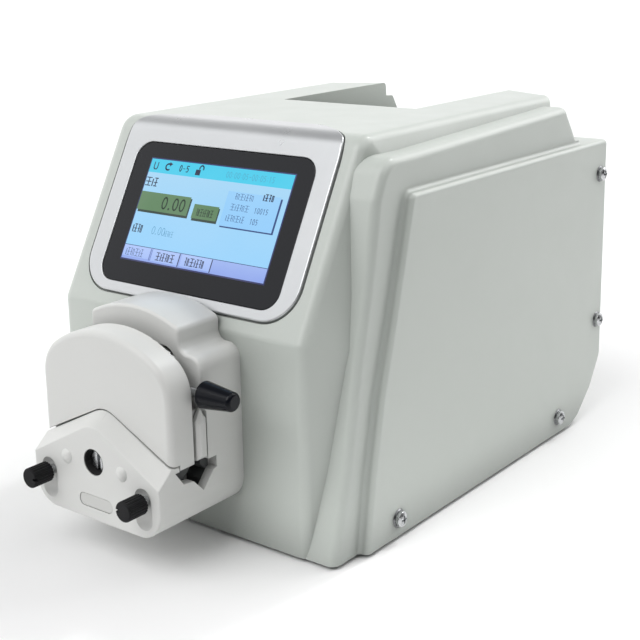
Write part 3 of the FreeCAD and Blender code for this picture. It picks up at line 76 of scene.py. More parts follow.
cam.matrix_world = Matrix(((right.x, up.x, back.x, 0.415134), (right.y, up.y, back.y, -0.514711),
                           (right.z, up.z, back.z, 0.276861), (0, 0, 0, 1)))
bpy.context.scene.camera = cam
bpy.context.scene.view_settings.view_transform = "Standard"
bpy.context.scene.view_settings.look = "None"


# ------------------------------------------------------------ materials
class Mat:
    """Small helper round a node tree with one Principled shader."""

    def __init__(self, name):
        self.m = bpy.data.materials.new(name)
        self.m.use_nodes = True
        self.t = self.m.node_tree
        self.b = self.t.nodes["Principled BSDF"]
        self.pos = self.t.nodes.new("ShaderNodeTexCoord").outputs["Object"]

    def node(self, kind, **kw):
        n = self.t.nodes.new(kind)
        for k, v in kw.items():
            if k in n.inputs.keys():
                n.inputs[k].default_value = v
            else:
                setattr(n, k, v)
        return n

    def link(self, a, b):
        self.t.links.new(a, b)

    def set(self, **kw):
        for k, v in kw.items():
            self.b.inputs[k.replace("_", " ")].default_value = v
        return self

    def noise(self, scale, detail=2.0, rough=0.5, stretch=None):
        n = self.node("ShaderNodeTexNoise")
        n.inputs["Scale"].default_value = scale
        n.inputs["Detail"].default_value = detail
        n.inputs["Roughness"].default_value = rough
        if stretch:
            mp = self.node("ShaderNodeMapping")
            mp.inputs["Scale"].default_value = stretch
            self.link(self.pos, mp.inputs["Vector"])
            self.link(mp.outputs["Vector"], n.inputs["Vector"])
        else:
            self.link(self.pos, n.inputs["Vector"])
        return n.outputs["Fac"]

    def span(self, fac, lo, hi, a=0.3, b=0.7):
        r = self.node("ShaderNodeMapRange")
        self.link(fac, r.inputs["Value"])
        for k, v in (("From Min", a), ("From Max", b), ("To Min", lo), ("To Max", hi)):
            r.inputs[k].default_value = v
        return r.outputs["Result"]

    def mix(self, fac, a, b, mode="MIX"):
        n = self.node("ShaderNodeMix", data_type="RGBA", blend_type=mode)
        ins = [i for i in n.inputs if i.type == "RGBA"]
        f = [i for i in n.inputs if i.name == "Factor" and i.type == "VALUE"][0]
        if isinstance(fac, (int, float)):
            f.default_value = fac
        else:
            self.link(fac, f)
        for s, v in zip(ins, (a, b)):
            if isinstance(v, tuple):
                s.default_value = (*v, 1.0) if len(v) == 3 else v
            else:
                self.link(v, s)
        return [o for o in n.outputs if o.type == "RGBA"][0]

    def math(self, op, a, b=None):
        n = self.node("ShaderNodeMath", operation=op)
        for s, v in zip(n.inputs, (a, b)):
            if v is None:
                continue
            if isinstance(v, (int, float)):
                s.default_value = v
            else:
                self.link(v, s)
        return n.outputs[0]

    def bump(self, height, strength, dist, under=None):
        n = self.node("ShaderNodeBump")
        n.inputs["Strength"].default_value = strength
        n.inputs["Distance"].default_value = dist
        self.link(height, n.inputs["Height"])
        if under is not None:
            self.link(under, n.inputs["Normal"])
        self.link(n.outputs["Normal"], self.b.inputs["Normal"])
        return n.outputs["Normal"]

    def colour(self, out):
        self.link(out, self.b.inputs["Base Color"])

    def paint_shade_in_hollows(self, out, reach, low, lo=0.25, hi=0.85):
        """Painted shade: the colour darkened by ambient occlusion in grooves, inner corners and under parts."""
        ao = self.node("ShaderNodeAmbientOcclusion", samples=8)
        ao.inputs["Distance"].default_value = reach
        f = self.span(ao.outputs["AO"], low, 1.0, lo, hi)
        # the painted shade is faded out above the floor of the tray in the top, whose walls stay light
        sep = self.node("ShaderNodeSeparateXYZ")
        self.link(self.pos, sep.inputs[0])
        up = self.span(sep.outputs["Z"], 0.0, 1.0, 0.200, 0.206)
        f = self.math("MAXIMUM", f, up)
        g = self.node("ShaderNodeCombineColor")
        for i in range(3):
            self.link(f, g.inputs[i])
        return self.mix(1.0, out, g.outputs[0], "MULTIPLY")

    def rough(self, out):
        self.link(out, self.b.inputs["Roughness"])


def vary(m, base, amount=0.03, scale=14.0, fine=380.0, warm=0.0):
    """Base colour with broad mottling and fine specks."""
    lo = tuple(max(0.0, c * (1 - amount)) for c in base)
    hi = tuple(min(1.0, c * (1 + amount)) for c in base)
    c1 = m.mix(m.span(m.noise(scale, 3.0), 0, 1), lo, hi)
    dark = tuple(c * (1 - 1.4 * amount) for c in base)
    return m.mix(m.span(m.noise(fine, 2.0), 0.0, 0.35, 0.55, 0.8), c1, dark)


def plastic(name, base, rough=(0.40, 0.52), grain=1700.0, depth=0.00006, strength=0.35, spec=0.45,
            amount=0.02, coat=0.0, coat_rough=0.2, painted_shade=None):
    m = Mat(name)
    c = vary(m, base, amount)
    # when painted_shade is given, the base colour gets painted shade in hollows from ambient occlusion
    m.colour(m.paint_shade_in_hollows(c, *painted_shade) if painted_shade else c)
    m.rough(m.span(m.noise(60.0, 3.0), rough[0], rough[1]))
    fine = m.noise(grain, 3.0, 0.55)
    wide = m.noise(45.0, 2.0)
    first = m.bump(wide, 0.08, 0.0004)
    m.bump(fine, strength, depth, first)
    m.set(Specular_IOR_Level=spec, IOR=1.49, Coat_Weight=coat, Coat_Roughness=coat_rough)
    return m.m


def metal(name, base, rough=(0.22, 0.38), stretch=(40, 900, 900), strength=0.12, depth=0.00003, amount=0.05):
    m = Mat(name)
    c = m.noise(1.0, 4.0, 0.6, stretch)
    m.colour(m.mix(m.span(c, 0, 1), tuple(x * (1 - amount) for x in base), tuple(min(1, x * (1 + amount)) for x in base)))
    m.rough(m.span(m.noise(1.0, 3.0, 0.6, stretch), rough[0], rough[1]))
    m.bump(c, strength, depth)
    m.set(Metallic=1.0, IOR=2.0)
    return m.m


M = {}
# shell and head colours carry painted shade: ambient-occlusion darkening in grooves, corners and next to other parts
M["shell_plastic"] = plastic("shell_paint", (0.556, 0.592, 0.555), (0.36, 0.47), 1500.0, 0.00007, 0.40, 0.5, 0.012,
                             painted_shade=(0.030, 0.46, 0.30, 0.92), coat=0.22, coat_rough=0.16)
M["head_plastic"] = plastic("head_plastic", (0.685, 0.69, 0.672), (0.33, 0.43), 2600.0, 0.00003, 0.22, 0.5, 0.012,
                            painted_shade=(0.012, 0.70, 0.2, 0.8))
M["panel_paint"] = plastic("panel_paint", (0.56, 0.57, 0.55), (0.42, 0.55), 900.0, 0.0001, 0.5, 0.45, 0.02)
M["black_plastic"] = plastic("black_plastic", (0.006, 0.006, 0.007), (0.48, 0.62), 2200.0, 0.00006, 0.45, 0.22, 0.15)
M["clamp_grey"] = plastic("clamp_grey", (0.085, 0.09, 0.09), (0.40, 0.55), 1500.0, 0.00006, 0.4, 0.4, 0.1)
M["bush_polymer"] = plastic("bush_polymer", (0.05, 0.048, 0.044), (0.4, 0.5), 1500.0, 0.00004, 0.3, 0.4, 0.1)
M["rubber"] = plastic("rubber", (0.016, 0.016, 0.016), (0.7, 0.85), 1200.0, 0.00012, 0.6, 0.25, 0.2)
M["label_grey"] = plastic("label_film", (0.60, 0.605, 0.585), (0.30, 0.38), 3200.0, 0.00002, 0.2, 0.5, 0.01)
M["black_gloss"] = plastic("black_gloss", (0.005, 0.006, 0.009), (0.13, 0.19), 500.0, 0.00001, 0.05, 0.16, 0.1, 0.07, 0.08)
M["motor_black"] = plastic("motor_black", (0.02, 0.02, 0.022), (0.4, 0.55), 1200.0, 0.00008, 0.4, 0.45, 0.15)
M["steel"] = metal("steel", (0.56, 0.57, 0.58), (0.18, 0.34), (300, 900, 300), 0.1)
M["roller_steel"] = metal("ground_steel", (0.63, 0.64, 0.66), (0.10, 0.2), (900, 60, 900), 0.06)
M["sheet_steel"] = metal("zinc_sheet", (0.50, 0.52, 0.53), (0.32, 0.48), (90, 90, 90), 0.15)
M["aluminium"] = metal("aluminium", (0.68, 0.69, 0.70), (0.25, 0.4), (60, 900, 60), 0.12)
CUP = metal("cup_washer_steel", (0.20, 0.205, 0.21), (0.24, 0.4), (300, 900, 900), 0.1)
M["brass"] = metal("brass", (0.66, 0.47, 0.18), (0.2, 0.35), (300, 300, 300), 0.1)


def silver_paint():
    m = Mat("silver_paint")
    sparkle = m.noise(3000.0, 1.0)
    broad = m.noise(9.0, 2.0)
    c = m.mix(m.span(sparkle, 0, 1, 0.30, 0.90), (0.615, 0.63, 0.64), (0.635, 0.65, 0.66))
    c = m.mix(m.span(broad, 0.0, 0.06), c, (0.56, 0.575, 0.59))
    m.colour(c)
    m.rough(m.span(m.noise(70.0, 3.0), 0.27, 0.33))
    m.bump(m.noise(260.0, 2.0), 0.02, 0.00002)
    m.set(Metallic=0.62, IOR=1.5, Coat_Weight=0.32, Coat_Roughness=0.10)
    return m.m


M["bezel_silver"] = silver_paint()


def pcb():
    m = Mat("circuit_board")
    br = m.node("ShaderNodeTexVoronoi", distance="MANHATTAN")
    br.inputs["Scale"].default_value = 260.0
    m.link(m.pos, br.inputs["Vector"])
    tracks = m.span(br.outputs["Distance"], 0, 1, 0.28, 0.32)
    m.colour(m.mix(tracks, (0.012, 0.085, 0.035), (0.02, 0.13, 0.055)))
    m.rough(m.span(m.noise(50.0), 0.28, 0.4))
    m.bump(br.outputs["Distance"], 0.2, 0.0001)
    m.set(Coat_Weight=0.3, Coat_Roughness=0.2)
    return m.m


def glassy(name, colour, rough, spec=0.5, alpha=1.0, trans=0.0):
    m = Mat(name)
    m.colour(vary(m, colour, 0.08, 20.0, 900.0))
    m.rough(m.span(m.noise(40.0, 2.0), rough[0], rough[1]))
    m.bump(m.noise(12.0, 1.0), 0.03, 0.0003)
    m.set(Specular_IOR_Level=spec, IOR=1.5, Transmission_Weight=trans)
    return m.m


M["pcb"] = pcb()
M["screen_glass"] = glassy("cover_glass_black", (0.008, 0.009, 0.012), (0.10, 0.14), 0.32)
M["clear_glass"] = glassy("fuse_glass", (0.7, 0.75, 0.74), (0.05, 0.08), 0.5, 1.0, 0.6)


def lit(name, low, high, strength=1.0, edge=(0.0, 1.0), noise=0.04):
    """Lit display surface: emits a colour that changes up the screen, with a pixel grid."""
    m = Mat(name)
    sep = m.node("ShaderNodeSeparateXYZ")
    m.link(m.pos, sep.inputs[0])
    f = m.span(sep.outputs["Z"], 0, 1, edge[0], edge[1])
    c = m.mix(f, low, high)
    wx = m.math("MULTIPLY", sep.outputs["X"], 2 * math.pi / 0.000198)
    wz = m.math("MULTIPLY", sep.outputs["Z"], 2 * math.pi / 0.000174)
    g = m.math("MULTIPLY", m.math("SINE", wx), m.math("SINE", wz))
    c2 = m.mix(m.span(g, 0.0, noise, -1, 1), c, (0.05, 0.07, 0.1))
    c3 = m.mix(m.span(m.noise(30.0, 2.0), 0.0, 0.05), c2, (1.0, 1.0, 1.0))
    m.link(c3, m.b.inputs["Emission Color"])
    m.colour(m.mix(0.9, c3, (0.02, 0.02, 0.03)))
    m.set(Emission_Strength=strength * 0.95, Roughness=0.16, Specular_IOR_Level=0.14, IOR=1.5)
    return m.m


Z_LO, Z_HI = 0.1281, 0.1754
M["display"] = lit("lit_background", (0.30, 0.66, 1.0), (0.40, 0.70, 0.93), 0.92, (Z_LO, Z_HI))
UI = {
    "bar": lit("lit_status_bar", (0.060, 0.66, 0.86), (0.045, 0.60, 0.83), 0.95, (Z_LO, Z_HI)),
    "green": lit("lit_green", (0.085, 0.20, 0.075), (0.115, 0.235, 0.10), 0.95, (Z_LO, Z_HI)),
    "green_dark": lit("lit_green_dark", (0.018, 0.045, 0.018), (0.02, 0.05, 0.02), 0.8, (Z_LO, Z_HI)),
    "ink": lit("lit_ink", (0.010, 0.016, 0.05), (0.012, 0.02, 0.06), 0.8, (Z_LO, Z_HI)),
    "ink_blue": lit("lit_blue_ink", (0.02, 0.06, 0.20), (0.02, 0.06, 0.22), 0.9, (Z_LO, Z_HI)),
    "panel": lit("lit_panel", (0.25, 0.58, 0.97), (0.33, 0.64, 0.94), 0.95, (Z_LO, Z_HI)),
    "faint": lit("lit_faint", (0.12, 0.30, 0.52), (0.06, 0.38, 0.56), 0.95, (Z_LO, Z_HI)),
    "tab": lit("lit_tab", (0.25, 0.36, 0.80), (0.34, 0.47, 0.86), 0.98, (Z_LO, Z_LO + 0.008)),
    "tab_light": lit("lit_tab_light", (0.33, 0.47, 0.88), (0.42, 0.56, 0.92), 1.0, (Z_LO, Z_LO + 0.008)),
    "rim": lit("lit_rim", (0.015, 0.02, 0.12), (0.02, 0.035, 0.16), 0.8, (Z_LO, Z_HI)),
}

for n, o in NODES.items():
    o.data.materials.clear()
    o.data.materials.append(M[SLOT_OF[n]])


# ------------------------------------------------------------ pieces from the frame
def finish_piece(o, node=None, body=None, smooth=30.0, weighted=True):
    me = o.data
    for p in me.polygons:
        p.use_smooth = True
    me.set_sharp_from_angle(angle=math.radians(smooth))
    if weighted:
        w = o.modifiers.new("weighted", "WEIGHTED_NORMAL")
        w.keep_sharp = True
        w.weight = 50
    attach(o, body or BODY_OF[node])
    if node:
        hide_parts(node)
    return o


def refine(node, name, bevel=0.0, smooth=30.0, seg=2, weld=3e-6, flat=0.05, mat=None, clamp=False):
    """The node's own surface, welded, with its sharp edges broken and smooth shading."""
    src = NODES[node]
    bm = bmesh.new()
    bm.from_mesh(src.data)
    bmesh.ops.remove_doubles(bm, verts=bm.verts, dist=weld)
    bmesh.ops.dissolve_degenerate(bm, dist=2e-7, edges=bm.edges)
    bmesh.ops.dissolve_limit(bm, angle_limit=math.radians(flat), use_dissolve_boundaries=False,
                             verts=bm.verts, edges=bm.edges)
    me = bpy.data.meshes.new(name)
    bm.to_mesh(me)
    bm.free()
    for a in [a.name for a in me.attributes if a.name in ("custom_normal", "sharp_edge", "sharp_face")]:
        me.attributes.remove(me.attributes[a])
    me.materials.clear()
    me.materials.append(mat or M[SLOT_OF[node]])
    o = bpy.data.objects.new(name, me)
    bpy.context.scene.collection.objects.link(o)
    if bevel > 0:
        b = o.modifiers.new("bevel", "BEVEL")
        b.limit_method, b.angle_limit = "ANGLE", math.radians(33)
        b.width, b.segments, b.profile = bevel, seg, 0.6
        b.use_clamp_overlap = clamp
        b.harden_normals = False
    return finish_piece(o, node, smooth=smooth)


refine("housing_shell", "housing", 0.0, 33.0)
refine("head_frame", "head_body", 0.0003, 30.0, clamp=True)
refine("upper_block", "head_upper_block", 0.0003, 30.0)
refine("side_guides", "head_side_guides", 0.00025, 20.0)
refine("boss_caps", "head_boss_caps", 0.0, 40.0)
refine("label_plate", "label_window", 0.00012, 30.0)
refine("clamp_knob_left", "knurled_knob_left", 0.00012, 35.0)
refine("clamp_knob_right", "knurled_knob_right", 0.00012, 35.0)
refine("clamp_screw_left", "clamp_spindle_left", 0.0001, 35.0)
refine("clamp_screw_right", "clamp_spindle_right", 0.0001, 35.0)
refine("clamp_seats", "clamp_seat_blocks", 0.0002, 30.0)
refine("tube_clamp_left", "clamp_jaw_left", 0.0002, 30.0, clamp=True)
refine("tube_clamp_right", "clamp_jaw_right", 0.0002, 30.0, clamp=True)
refine("lever_rod", "lever_bar", 0.0, 40.0)
refine("lever_knob", "lever_grip", 0.0, 40.0)
refine("rotor_shaft", "drive_shaft", 0.00012, 35.0)
refine("side_screws", "side_screw_heads", 0.0001, 30.0)
refine("side_screw_washers", "side_cup_washers", 0.0001, 30.0, mat=CUP)
refine("rubber_feet", "feet_rubber", 0.0003, 35.0)
refine("rear_panel", "rear_plate", 0.00015, 30.0)
refine("mains_inlet", "mains_socket_body", 0.00025, 30.0)
refine("fuse_drawer", "fuse_tray", 0.00025, 30.0)
refine("power_switch_frame", "switch_frame", 0.0003, 30.0)
refine("power_rocker", "switch_rocker", 0.0003, 25.0)
refine("control_socket", "control_connector", 0.00015, 30.0)
refine("fan_grille", "fan_guard", 0.0003, 30.0)
refine("fan_frame", "fan_housing", 0.0003, 30.0)
refine("fan_impeller", "fan_rotor", 0.0002, 30.0)
refine("rear_panel_screws", "rear_screw_heads", 0.0001, 30.0)
refine("earth_stud", "earth_terminal", 0.0002, 30.0)
refine("socket_jackscrews", "connector_jackscrews", 0.0001, 30.0)


def turned(name, prof, node, slot, x=0.0, z=49.0, n=72):
    """Ring turned about the y axis from (radius, y) points in design millimetres."""
    bm = bmesh.new()
    rows = []
    for i in range(n):
        a = 2 * math.pi * i / n
        rows.append([bm.verts.new(((x + r * math.cos(a)) / 1000.0, (y - 100.45) / 1000.0, (z + r * math.sin(a) + 2.0) / 1000.0))
                     for r, y in prof])
    m = len(prof)
    for i in range(n):
        for k in range(m):
            bm.faces.new((rows[i][k], rows[(i + 1) % n][k], rows[(i + 1) % n][(k + 1) % m], rows[i][(k + 1) % m]))
    bmesh.ops.recalc_face_normals(bm, faces=bm.faces)
    me = bpy.data.meshes.new(name)
    bm.to_mesh(me)
    bm.free()
    me.materials.append(M[slot])
    o = bpy.data.objects.new(name, me)
    bpy.context.scene.collection.objects.link(o)
    return finish_piece(o, None, BODY_OF[node], 40.0)


turned("shaft_seal_ring", [(6.45, -49.2), (6.45, -55.9), (6.25, -56.25), (5.9, -56.25), (5.6, -55.9), (5.35, -54.2), (5.35, -49.2)],
       "head_frame", "rubber")

# ------------------------------------------------------------ cover glass and picture
SLANT = math.radians(28.6)
SS, SC = math.sin(SLANT), math.cos(SLANT)


def scr(x, s, h):
    """Screen plane: x across, s up the slope, h outwards, all in mm."""
    return Vector((x / 1000.0, (s * SS - h * SC - 100.45) / 1000.0, (103.8 + s * SC + h * SS + 2.0) / 1000.0))


def rounded(x0, y0, x1, y1, r, n=10):
    out = []
    for cx, cy, a0 in ((x1 - r, y1 - r, 0), (x0 + r, y1 - r, 90), (x0 + r, y0 + r, 180), (x1 - r, y0 + r, 270)):
        for i in range(n + 1):
            a = math.radians(a0 + 90.0 * i / n)
            out.append((cx + r * math.cos(a), cy + r * math.sin(a)))
    return out


def new_object(name, bm, mats):
    me = bpy.data.meshes.new(name)
    bm.normal_update()
    bm.to_mesh(me)
    bm.free()
    for m in mats:
        me.materials.append(m)
    o = bpy.data.objects.new(name, me)
    bpy.context.scene.collection.objects.link(o)
    return o


def glass_pane():
    """Closed slab with a polished rim, drawn ring by ring."""
    bm = bmesh.new()
    GX, S0, S1, R = 59.05, 13.15, 88.25, 9.4
    steps = [(0.0, -1.45), (0.0, 0.02)]
    for i in range(1, 6):
        a = math.radians(90.0 * i / 5)
        steps.append((0.38 * (1 - math.cos(a)), 0.02 + 0.38 * math.sin(a)))
    rings = []
    for d, h in steps:
        rings.append([bm.verts.new(scr(x, s, h)) for x, s in rounded(-GX + d, S0 + d, GX - d, S1 - d, R - d)])
    n = len(rings[0])
    for a, b in zip(rings, rings[1:]):
        for i in range(n):
            bm.faces.new((a[i], a[(i + 1) % n], b[(i + 1) % n], b[i]))
    bm.faces.new(rings[-1])
    bm.faces.new(list(reversed(rings[0])))
    bmesh.ops.recalc_face_normals(bm, faces=bm.faces)
    return new_object("cover_glass", bm, [M["screen_glass"]])


finish_piece(glass_pane(), "touch_glass", smooth=40.0)

# bezel: a strip that runs up the screen plane, over the fold and onto the top
FOLD_S, FOLD_R, FOLD_C = 94.56, 12.0, (55.799, 181.075)
FOLD_T = math.radians(90.0 + 0.398) - SLANT
TOP_S = FOLD_S + FOLD_R * FOLD_T


def wrap(x, t, h):
    """Point h above the housing's surface, t millimetres up from the kink."""
    if t <= FOLD_S:
        y, z = t * SS - h * SC, 103.8 + t * SC + h * SS
    else:
        a = SLANT + min((t - FOLD_S) / FOLD_R, FOLD_T)
        y, z = FOLD_C[0] - (FOLD_R + h) * math.cos(a), FOLD_C[1] + (FOLD_R + h) * math.sin(a)
        if t > TOP_S:
            y += (t - TOP_S) * math.sin(a)
            z += (t - TOP_S) * math.cos(a) * -1.0
    return Vector((x / 1000.0, (y - 100.45) / 1000.0, (z + 2.0) / 1000.0))


def round_corners(pts, n=14):
    """Closed outline with each corner (u, v, r) replaced by an arc."""
    out = []
    m = len(pts)
    for i in range(m):
        P, A, B = pts[i], pts[i - 1], pts[(i + 1) % m]
        r = P[2]
        a = Vector((A[0] - P[0], A[1] - P[1])).normalized()
        b = Vector((B[0] - P[0], B[1] - P[1])).normalized()
        if r <= 0:
            out.append((P[0], P[1]))
            continue
        ang = a.angle(b)
        t = r / math.tan(ang / 2)
        p0, p1 = Vector(P[:2]) + a * t, Vector(P[:2]) + b * t
        c = Vector(P[:2]) + (a + b).normalized() * (r / math.sin(ang / 2))
        a0 = math.atan2(p0.y - c.y, p0.x - c.x)
        d = (math.atan2(p1.y - c.y, p1.x - c.x) - a0 + math.pi) % (2 * math.pi) - math.pi
        for k in range(n + 1):
            out.append((c.x + r * math.cos(a0 + d * k / n), c.y + r * math.sin(a0 + d * k / n)))
    return out


def plan_to_strip(y, h=0.9):
    """Strip coordinate t of the outer surface at plan depth y."""
    lo, hi = 0.0, 140.0
    for _ in range(50):
        mid = (lo + hi) / 2
        if wrap(0, mid, h).y * 1000.0 + 100.45 < y:
            lo = mid
        else:
            hi = mid
    return lo


def bezel_loop(d):
    """Outer outline moved inwards by d, in strip coordinates."""
    X = 70.0 - d
    low = round_corners([(-X, 60.0, 0), (-X, 7.5 + d, 19.0 - d), (X, 7.5 + d, 19.0 - d), (X, 60.0, 0)])
    top = round_corners([(X, -40.0, 0), (X, 47.5 - 0.51 * d, 12.0 - d), (44.3 - 0.32 * d, 66.0 - d, 25.0 - d),
                         (-44.3 + 0.32 * d, 66.0 - d, 25.0 - d), (-X, 47.5 - 0.51 * d, 12.0 - d), (-X, -40.0, 0)], 22)
    return low + [(x, plan_to_strip(y)) for x, y in top if y > 30.0]


def hole_loop(d):
    return [(x, t) for x, t in rounded(-59.35 - d, 12.85 - d, 59.35 + d, 88.55 + d, 9.5 + d)]


def along_rays(loop, n, centre=(0.0, 52.0)):
    """n points of a closed outline, met by rays fanned out from the centre."""
    res = []
    m = len(loop)
    for k in range(n):
        a = 2 * math.pi * k / n
        dx, dy = math.cos(a), math.sin(a)
        best = None
        for i in range(m):
            (ax, ay), (bx, by) = loop[i], loop[(i + 1) % m]
            ax, ay, bx, by = ax - centre[0], ay - centre[1], bx - centre[0], by - centre[1]
            den = dx * (by - ay) - dy * (bx - ax)
            if abs(den) < 1e-12:
                continue
            t = (ax * (by - ay) - ay * (bx - ax)) / den
            u = (ax * dy - ay * dx) / den
            if t > 0 and -1e-9 <= u <= 1 + 1e-9:
                best = t if best is None else max(best, t)
        res.append((centre[0] + dx * best, centre[1] + dy * best))
    return res


def bezel_piece(n=288, across=30, rb=0.85, ri=0.3):
    rings = []
    for h, d in [(-1.5, 0.0), (0.9 - rb, 0.0)] + [(0.9 - rb + rb * math.sin(a), rb * (1 - math.cos(a)))
                                                for a in (math.radians(90.0 * i / 6) for i in range(1, 7))]:
        rings.append([(x, t, h) for x, t in along_rays(bezel_loop(d), n)])
    inner = along_rays(hole_loop(ri), n)
    outer = rings[-1]
    for k in range(1, across):
        f = k / across
        rings.append([(o[0] + (i[0] - o[0]) * f, o[1] + (i[1] - o[1]) * f, 0.9) for o, i in zip(outer, inner)])
    for h, d in [(0.9 - ri + ri * math.cos(a), ri * (1 - math.sin(a))) for a in (math.radians(90.0 * i / 4) for i in range(5))]:
        rings.append([(x, t, h) for x, t in along_rays(hole_loop(d), n)])
    rings.append([(x, t, -1.5) for x, t in along_rays(hole_loop(0.0), n)])
    bm = bmesh.new()
    vs = [[bm.verts.new(wrap(*p)) for p in r] for r in rings]
    m = len(vs)
    for k in range(m):
        a, b = vs[k], vs[(k + 1) % m]
        for i in range(n):
            bm.faces.new((a[i], a[(i + 1) % n], b[(i + 1) % n], b[i]))
    bmesh.ops.recalc_face_normals(bm, faces=bm.faces)
    return new_object("bezel", bm, [M["bezel_silver"]])


finish_piece(bezel_piece(), "screen_bezel", smooth=50.0)

LX, LS0, LS1 = 47.52, 25.4, 79.3
H0 = 0.40


def uv(u, v, layer):
    return scr(-LX + u * 2 * LX, LS1 - v * (LS1 - LS0), H0 + 0.018 * (layer + 1))


class Sheet:
    """Thin tiles of one colour on the display."""

    def __init__(self, key, layer):
        self.bm, self.key, self.layer = bmesh.new(), key, layer

    def poly(self, pts):
        top = [self.bm.verts.new(uv(u, v, self.layer)) for u, v in pts]
        low = [self.bm.verts.new(uv(u, v, self.layer - 0.9)) for u, v in pts]
        self.bm.faces.new(top)
        self.bm.faces.new(list(reversed(low)))
        n = len(pts)
        for i in range(n):
            self.bm.faces.new((low[i], low[(i + 1) % n], top[(i + 1) % n], top[i]))

    def rect(self, u0, v0, u1, v1):
        self.poly([(u0, v0), (u1, v0), (u1, v1), (u0, v1)])

    def line(self, pts, w):
        """Stroke of width w (in u units) along points (u, v)."""
        k = (LS1 - LS0) / (2 * LX)
        for (a, b), (c, d) in zip(pts, pts[1:]):
            du, dv = c - a, (d - b) * k
            L = math.hypot(du, dv) or 1e-9
            nu, nv = -dv / L * w / 2, du / L * w / 2 / k
            eu, ev = du / L * w / 2, dv / L * w / 2 / k
            self.poly([(a - eu + nu, b - ev + nv), (c + eu + nu, d + ev + nv),
                       (c + eu - nu, d + ev - nv), (a - eu - nu, b - ev - nv)])

    def arc(self, u, v, ru, rv, a0, a1, w, n=14):
        self.line([(u + ru * math.cos(math.radians(a0 + (a1 - a0) * i / n)),
                    v - rv * math.sin(math.radians(a0 + (a1 - a0) * i / n))) for i in range(n + 1)], w)

    def digit(self, c, u, v, w, h, t):
        """Digit in a box whose upper left corner is (u, v)."""
        if c == "0":
            self.arc(u + w / 2, v + h / 2, w / 2 - t / 2, h / 2 - t * 0.9, 0, 360, t)
        elif c == ".":
            self.rect(u + w * 0.2, v + h * 0.84, u + w * 0.2 + t * 1.3, v + h)
        elif c == ":":
            self.rect(u + w * 0.35, v + h * 0.25, u + w * 0.35 + t, v + h * 0.38)
            self.rect(u + w * 0.35, v + h * 0.66, u + w * 0.35 + t, v + h * 0.79)
        elif c == "-":
            self.rect(u + w * 0.1, v + h * 0.46, u + w * 0.9, v + h * 0.56)
        elif c == "1":
            self.line([(u + w * 0.3, v + h * 0.2), (u + w * 0.55, v + h * 0.06), (u + w * 0.55, v + h * 0.95)], t)
        elif c == "5":
            self.line([(u + w * 0.85, v + h * 0.07), (u + w * 0.2, v + h * 0.07), (u + w * 0.2, v + h * 0.45),
                       (u + w * 0.7, v + h * 0.45), (u + w * 0.82, v + h * 0.7), (u + w * 0.6, v + h * 0.93),
                       (u + w * 0.15, v + h * 0.93)], t)

    def number(self, text, u, v, w, h, t, gap=0.25):
        for c in text:
            step = w * (0.55 if c in ".:" else 1.0)
            self.digit(c, u, v, w * (0.55 if c in ".:" else 1.0), h, t)
            u += step + w * gap

    def mark(self, u, v, w, h, kind, t):
        """Abstract block mark: bars and ticks with no meaning."""
        if kind % 3 == 0:
            self.rect(u, v, u + w, v + t * 1.4)
            self.rect(u, v + h * 0.45, u + w, v + h * 0.45 + t * 1.4)
            self.rect(u, v + h - t * 1.4, u + w, v + h)
            self.rect(u + w * 0.45, v, u + w * 0.45 + t, v + h)
        elif kind % 3 == 1:
            self.rect(u, v + h * 0.15, u + t * 1.2, v + h)
            self.rect(u + w * 0.35, v, u + w, v + t * 1.4)
            self.rect(u + w * 0.35, v + h * 0.5, u + w, v + h * 0.5 + t * 1.4)
            self.rect(u + w * 0.62, v, u + w * 0.62 + t, v + h)
            self.rect(u + w * 0.35, v + h - t * 1.4, u + w, v + h)
        else:
            self.rect(u, v, u + w * 0.4, v + t * 1.4)
            self.rect(u, v + h * 0.5, u + w * 0.4, v + h * 0.5 + t * 1.4)
            self.rect(u + w * 0.15, v, u + w * 0.15 + t, v + h)
            self.rect(u + w * 0.55, v + h * 0.1, u + w * 0.55 + t, v + h)
            self.rect(u + w * 0.55, v + h * 0.1, u + w, v + h * 0.1 + t * 1.4)
            self.rect(u + w - t, v + h * 0.1, u + w, v + h)

    def marks(self, u, v, w, h, count, t, gap=0.18, start=0):
        for i in range(count):
            self.mark(u, v, w, h, i + start, t)
            u += w * (1 + gap)

    def done(self, name):
        bmesh.ops.recalc_face_normals(self.bm, faces=self.bm.faces)
        o = new_object(name, self.bm, [M["display"] if self.key == "bg" else UI[self.key]])
        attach(o, BODY_OF["lcd_display"])
        return o


rim = Sheet("rim", -0.3); rim.rect(-0.006, -0.012, 1.008, 1.014); rim.done("display_rim")
bg = Sheet("bg", 0.2); bg.rect(0.0, 0.0, 1.0, 1.0); bg.done("display_background")
bar = Sheet("bar", 1); bar.rect(0.0, 0.0, 1.0, 0.135); bar.done("display_status_bar")
tab = Sheet("tab", 1); tab.rect(0.0, 0.868, 1.0, 1.0); tab.done("display_tab_bar")
tl = Sheet("tab_light", 2)
tl.rect(0.215, 0.868, 0.405, 0.985); tl.rect(0.425, 0.868, 0.632, 0.985); tl.rect(0.0, 0.868, 0.195, 0.975)
tl.done("display_tabs")
gr = Sheet("green_dark", 1)
gr.rect(0.010, 0.345, 0.376, 0.535); gr.rect(0.408, 0.40, 0.584, 0.545); gr.done("display_box_shadows")
gb = Sheet("green", 2)
gb.rect(0.0, 0.330, 0.366, 0.512); gb.rect(0.402, 0.385, 0.576, 0.522); gb.done("display_value_boxes")
pn = Sheet("ink_blue", 1)
pn.rect(0.612, 0.235, 0.968, 0.565); pn.done("display_panel_edge")
pp = Sheet("panel", 2); pp.rect(0.604, 0.22, 0.956, 0.552); pp.done("display_panel")
ink = Sheet("ink", 3)
ink.line([(0.030, 0.035), (0.030, 0.085), (0.036, 0.10), (0.050, 0.10), (0.056, 0.085), (0.056, 0.035)], 0.006)
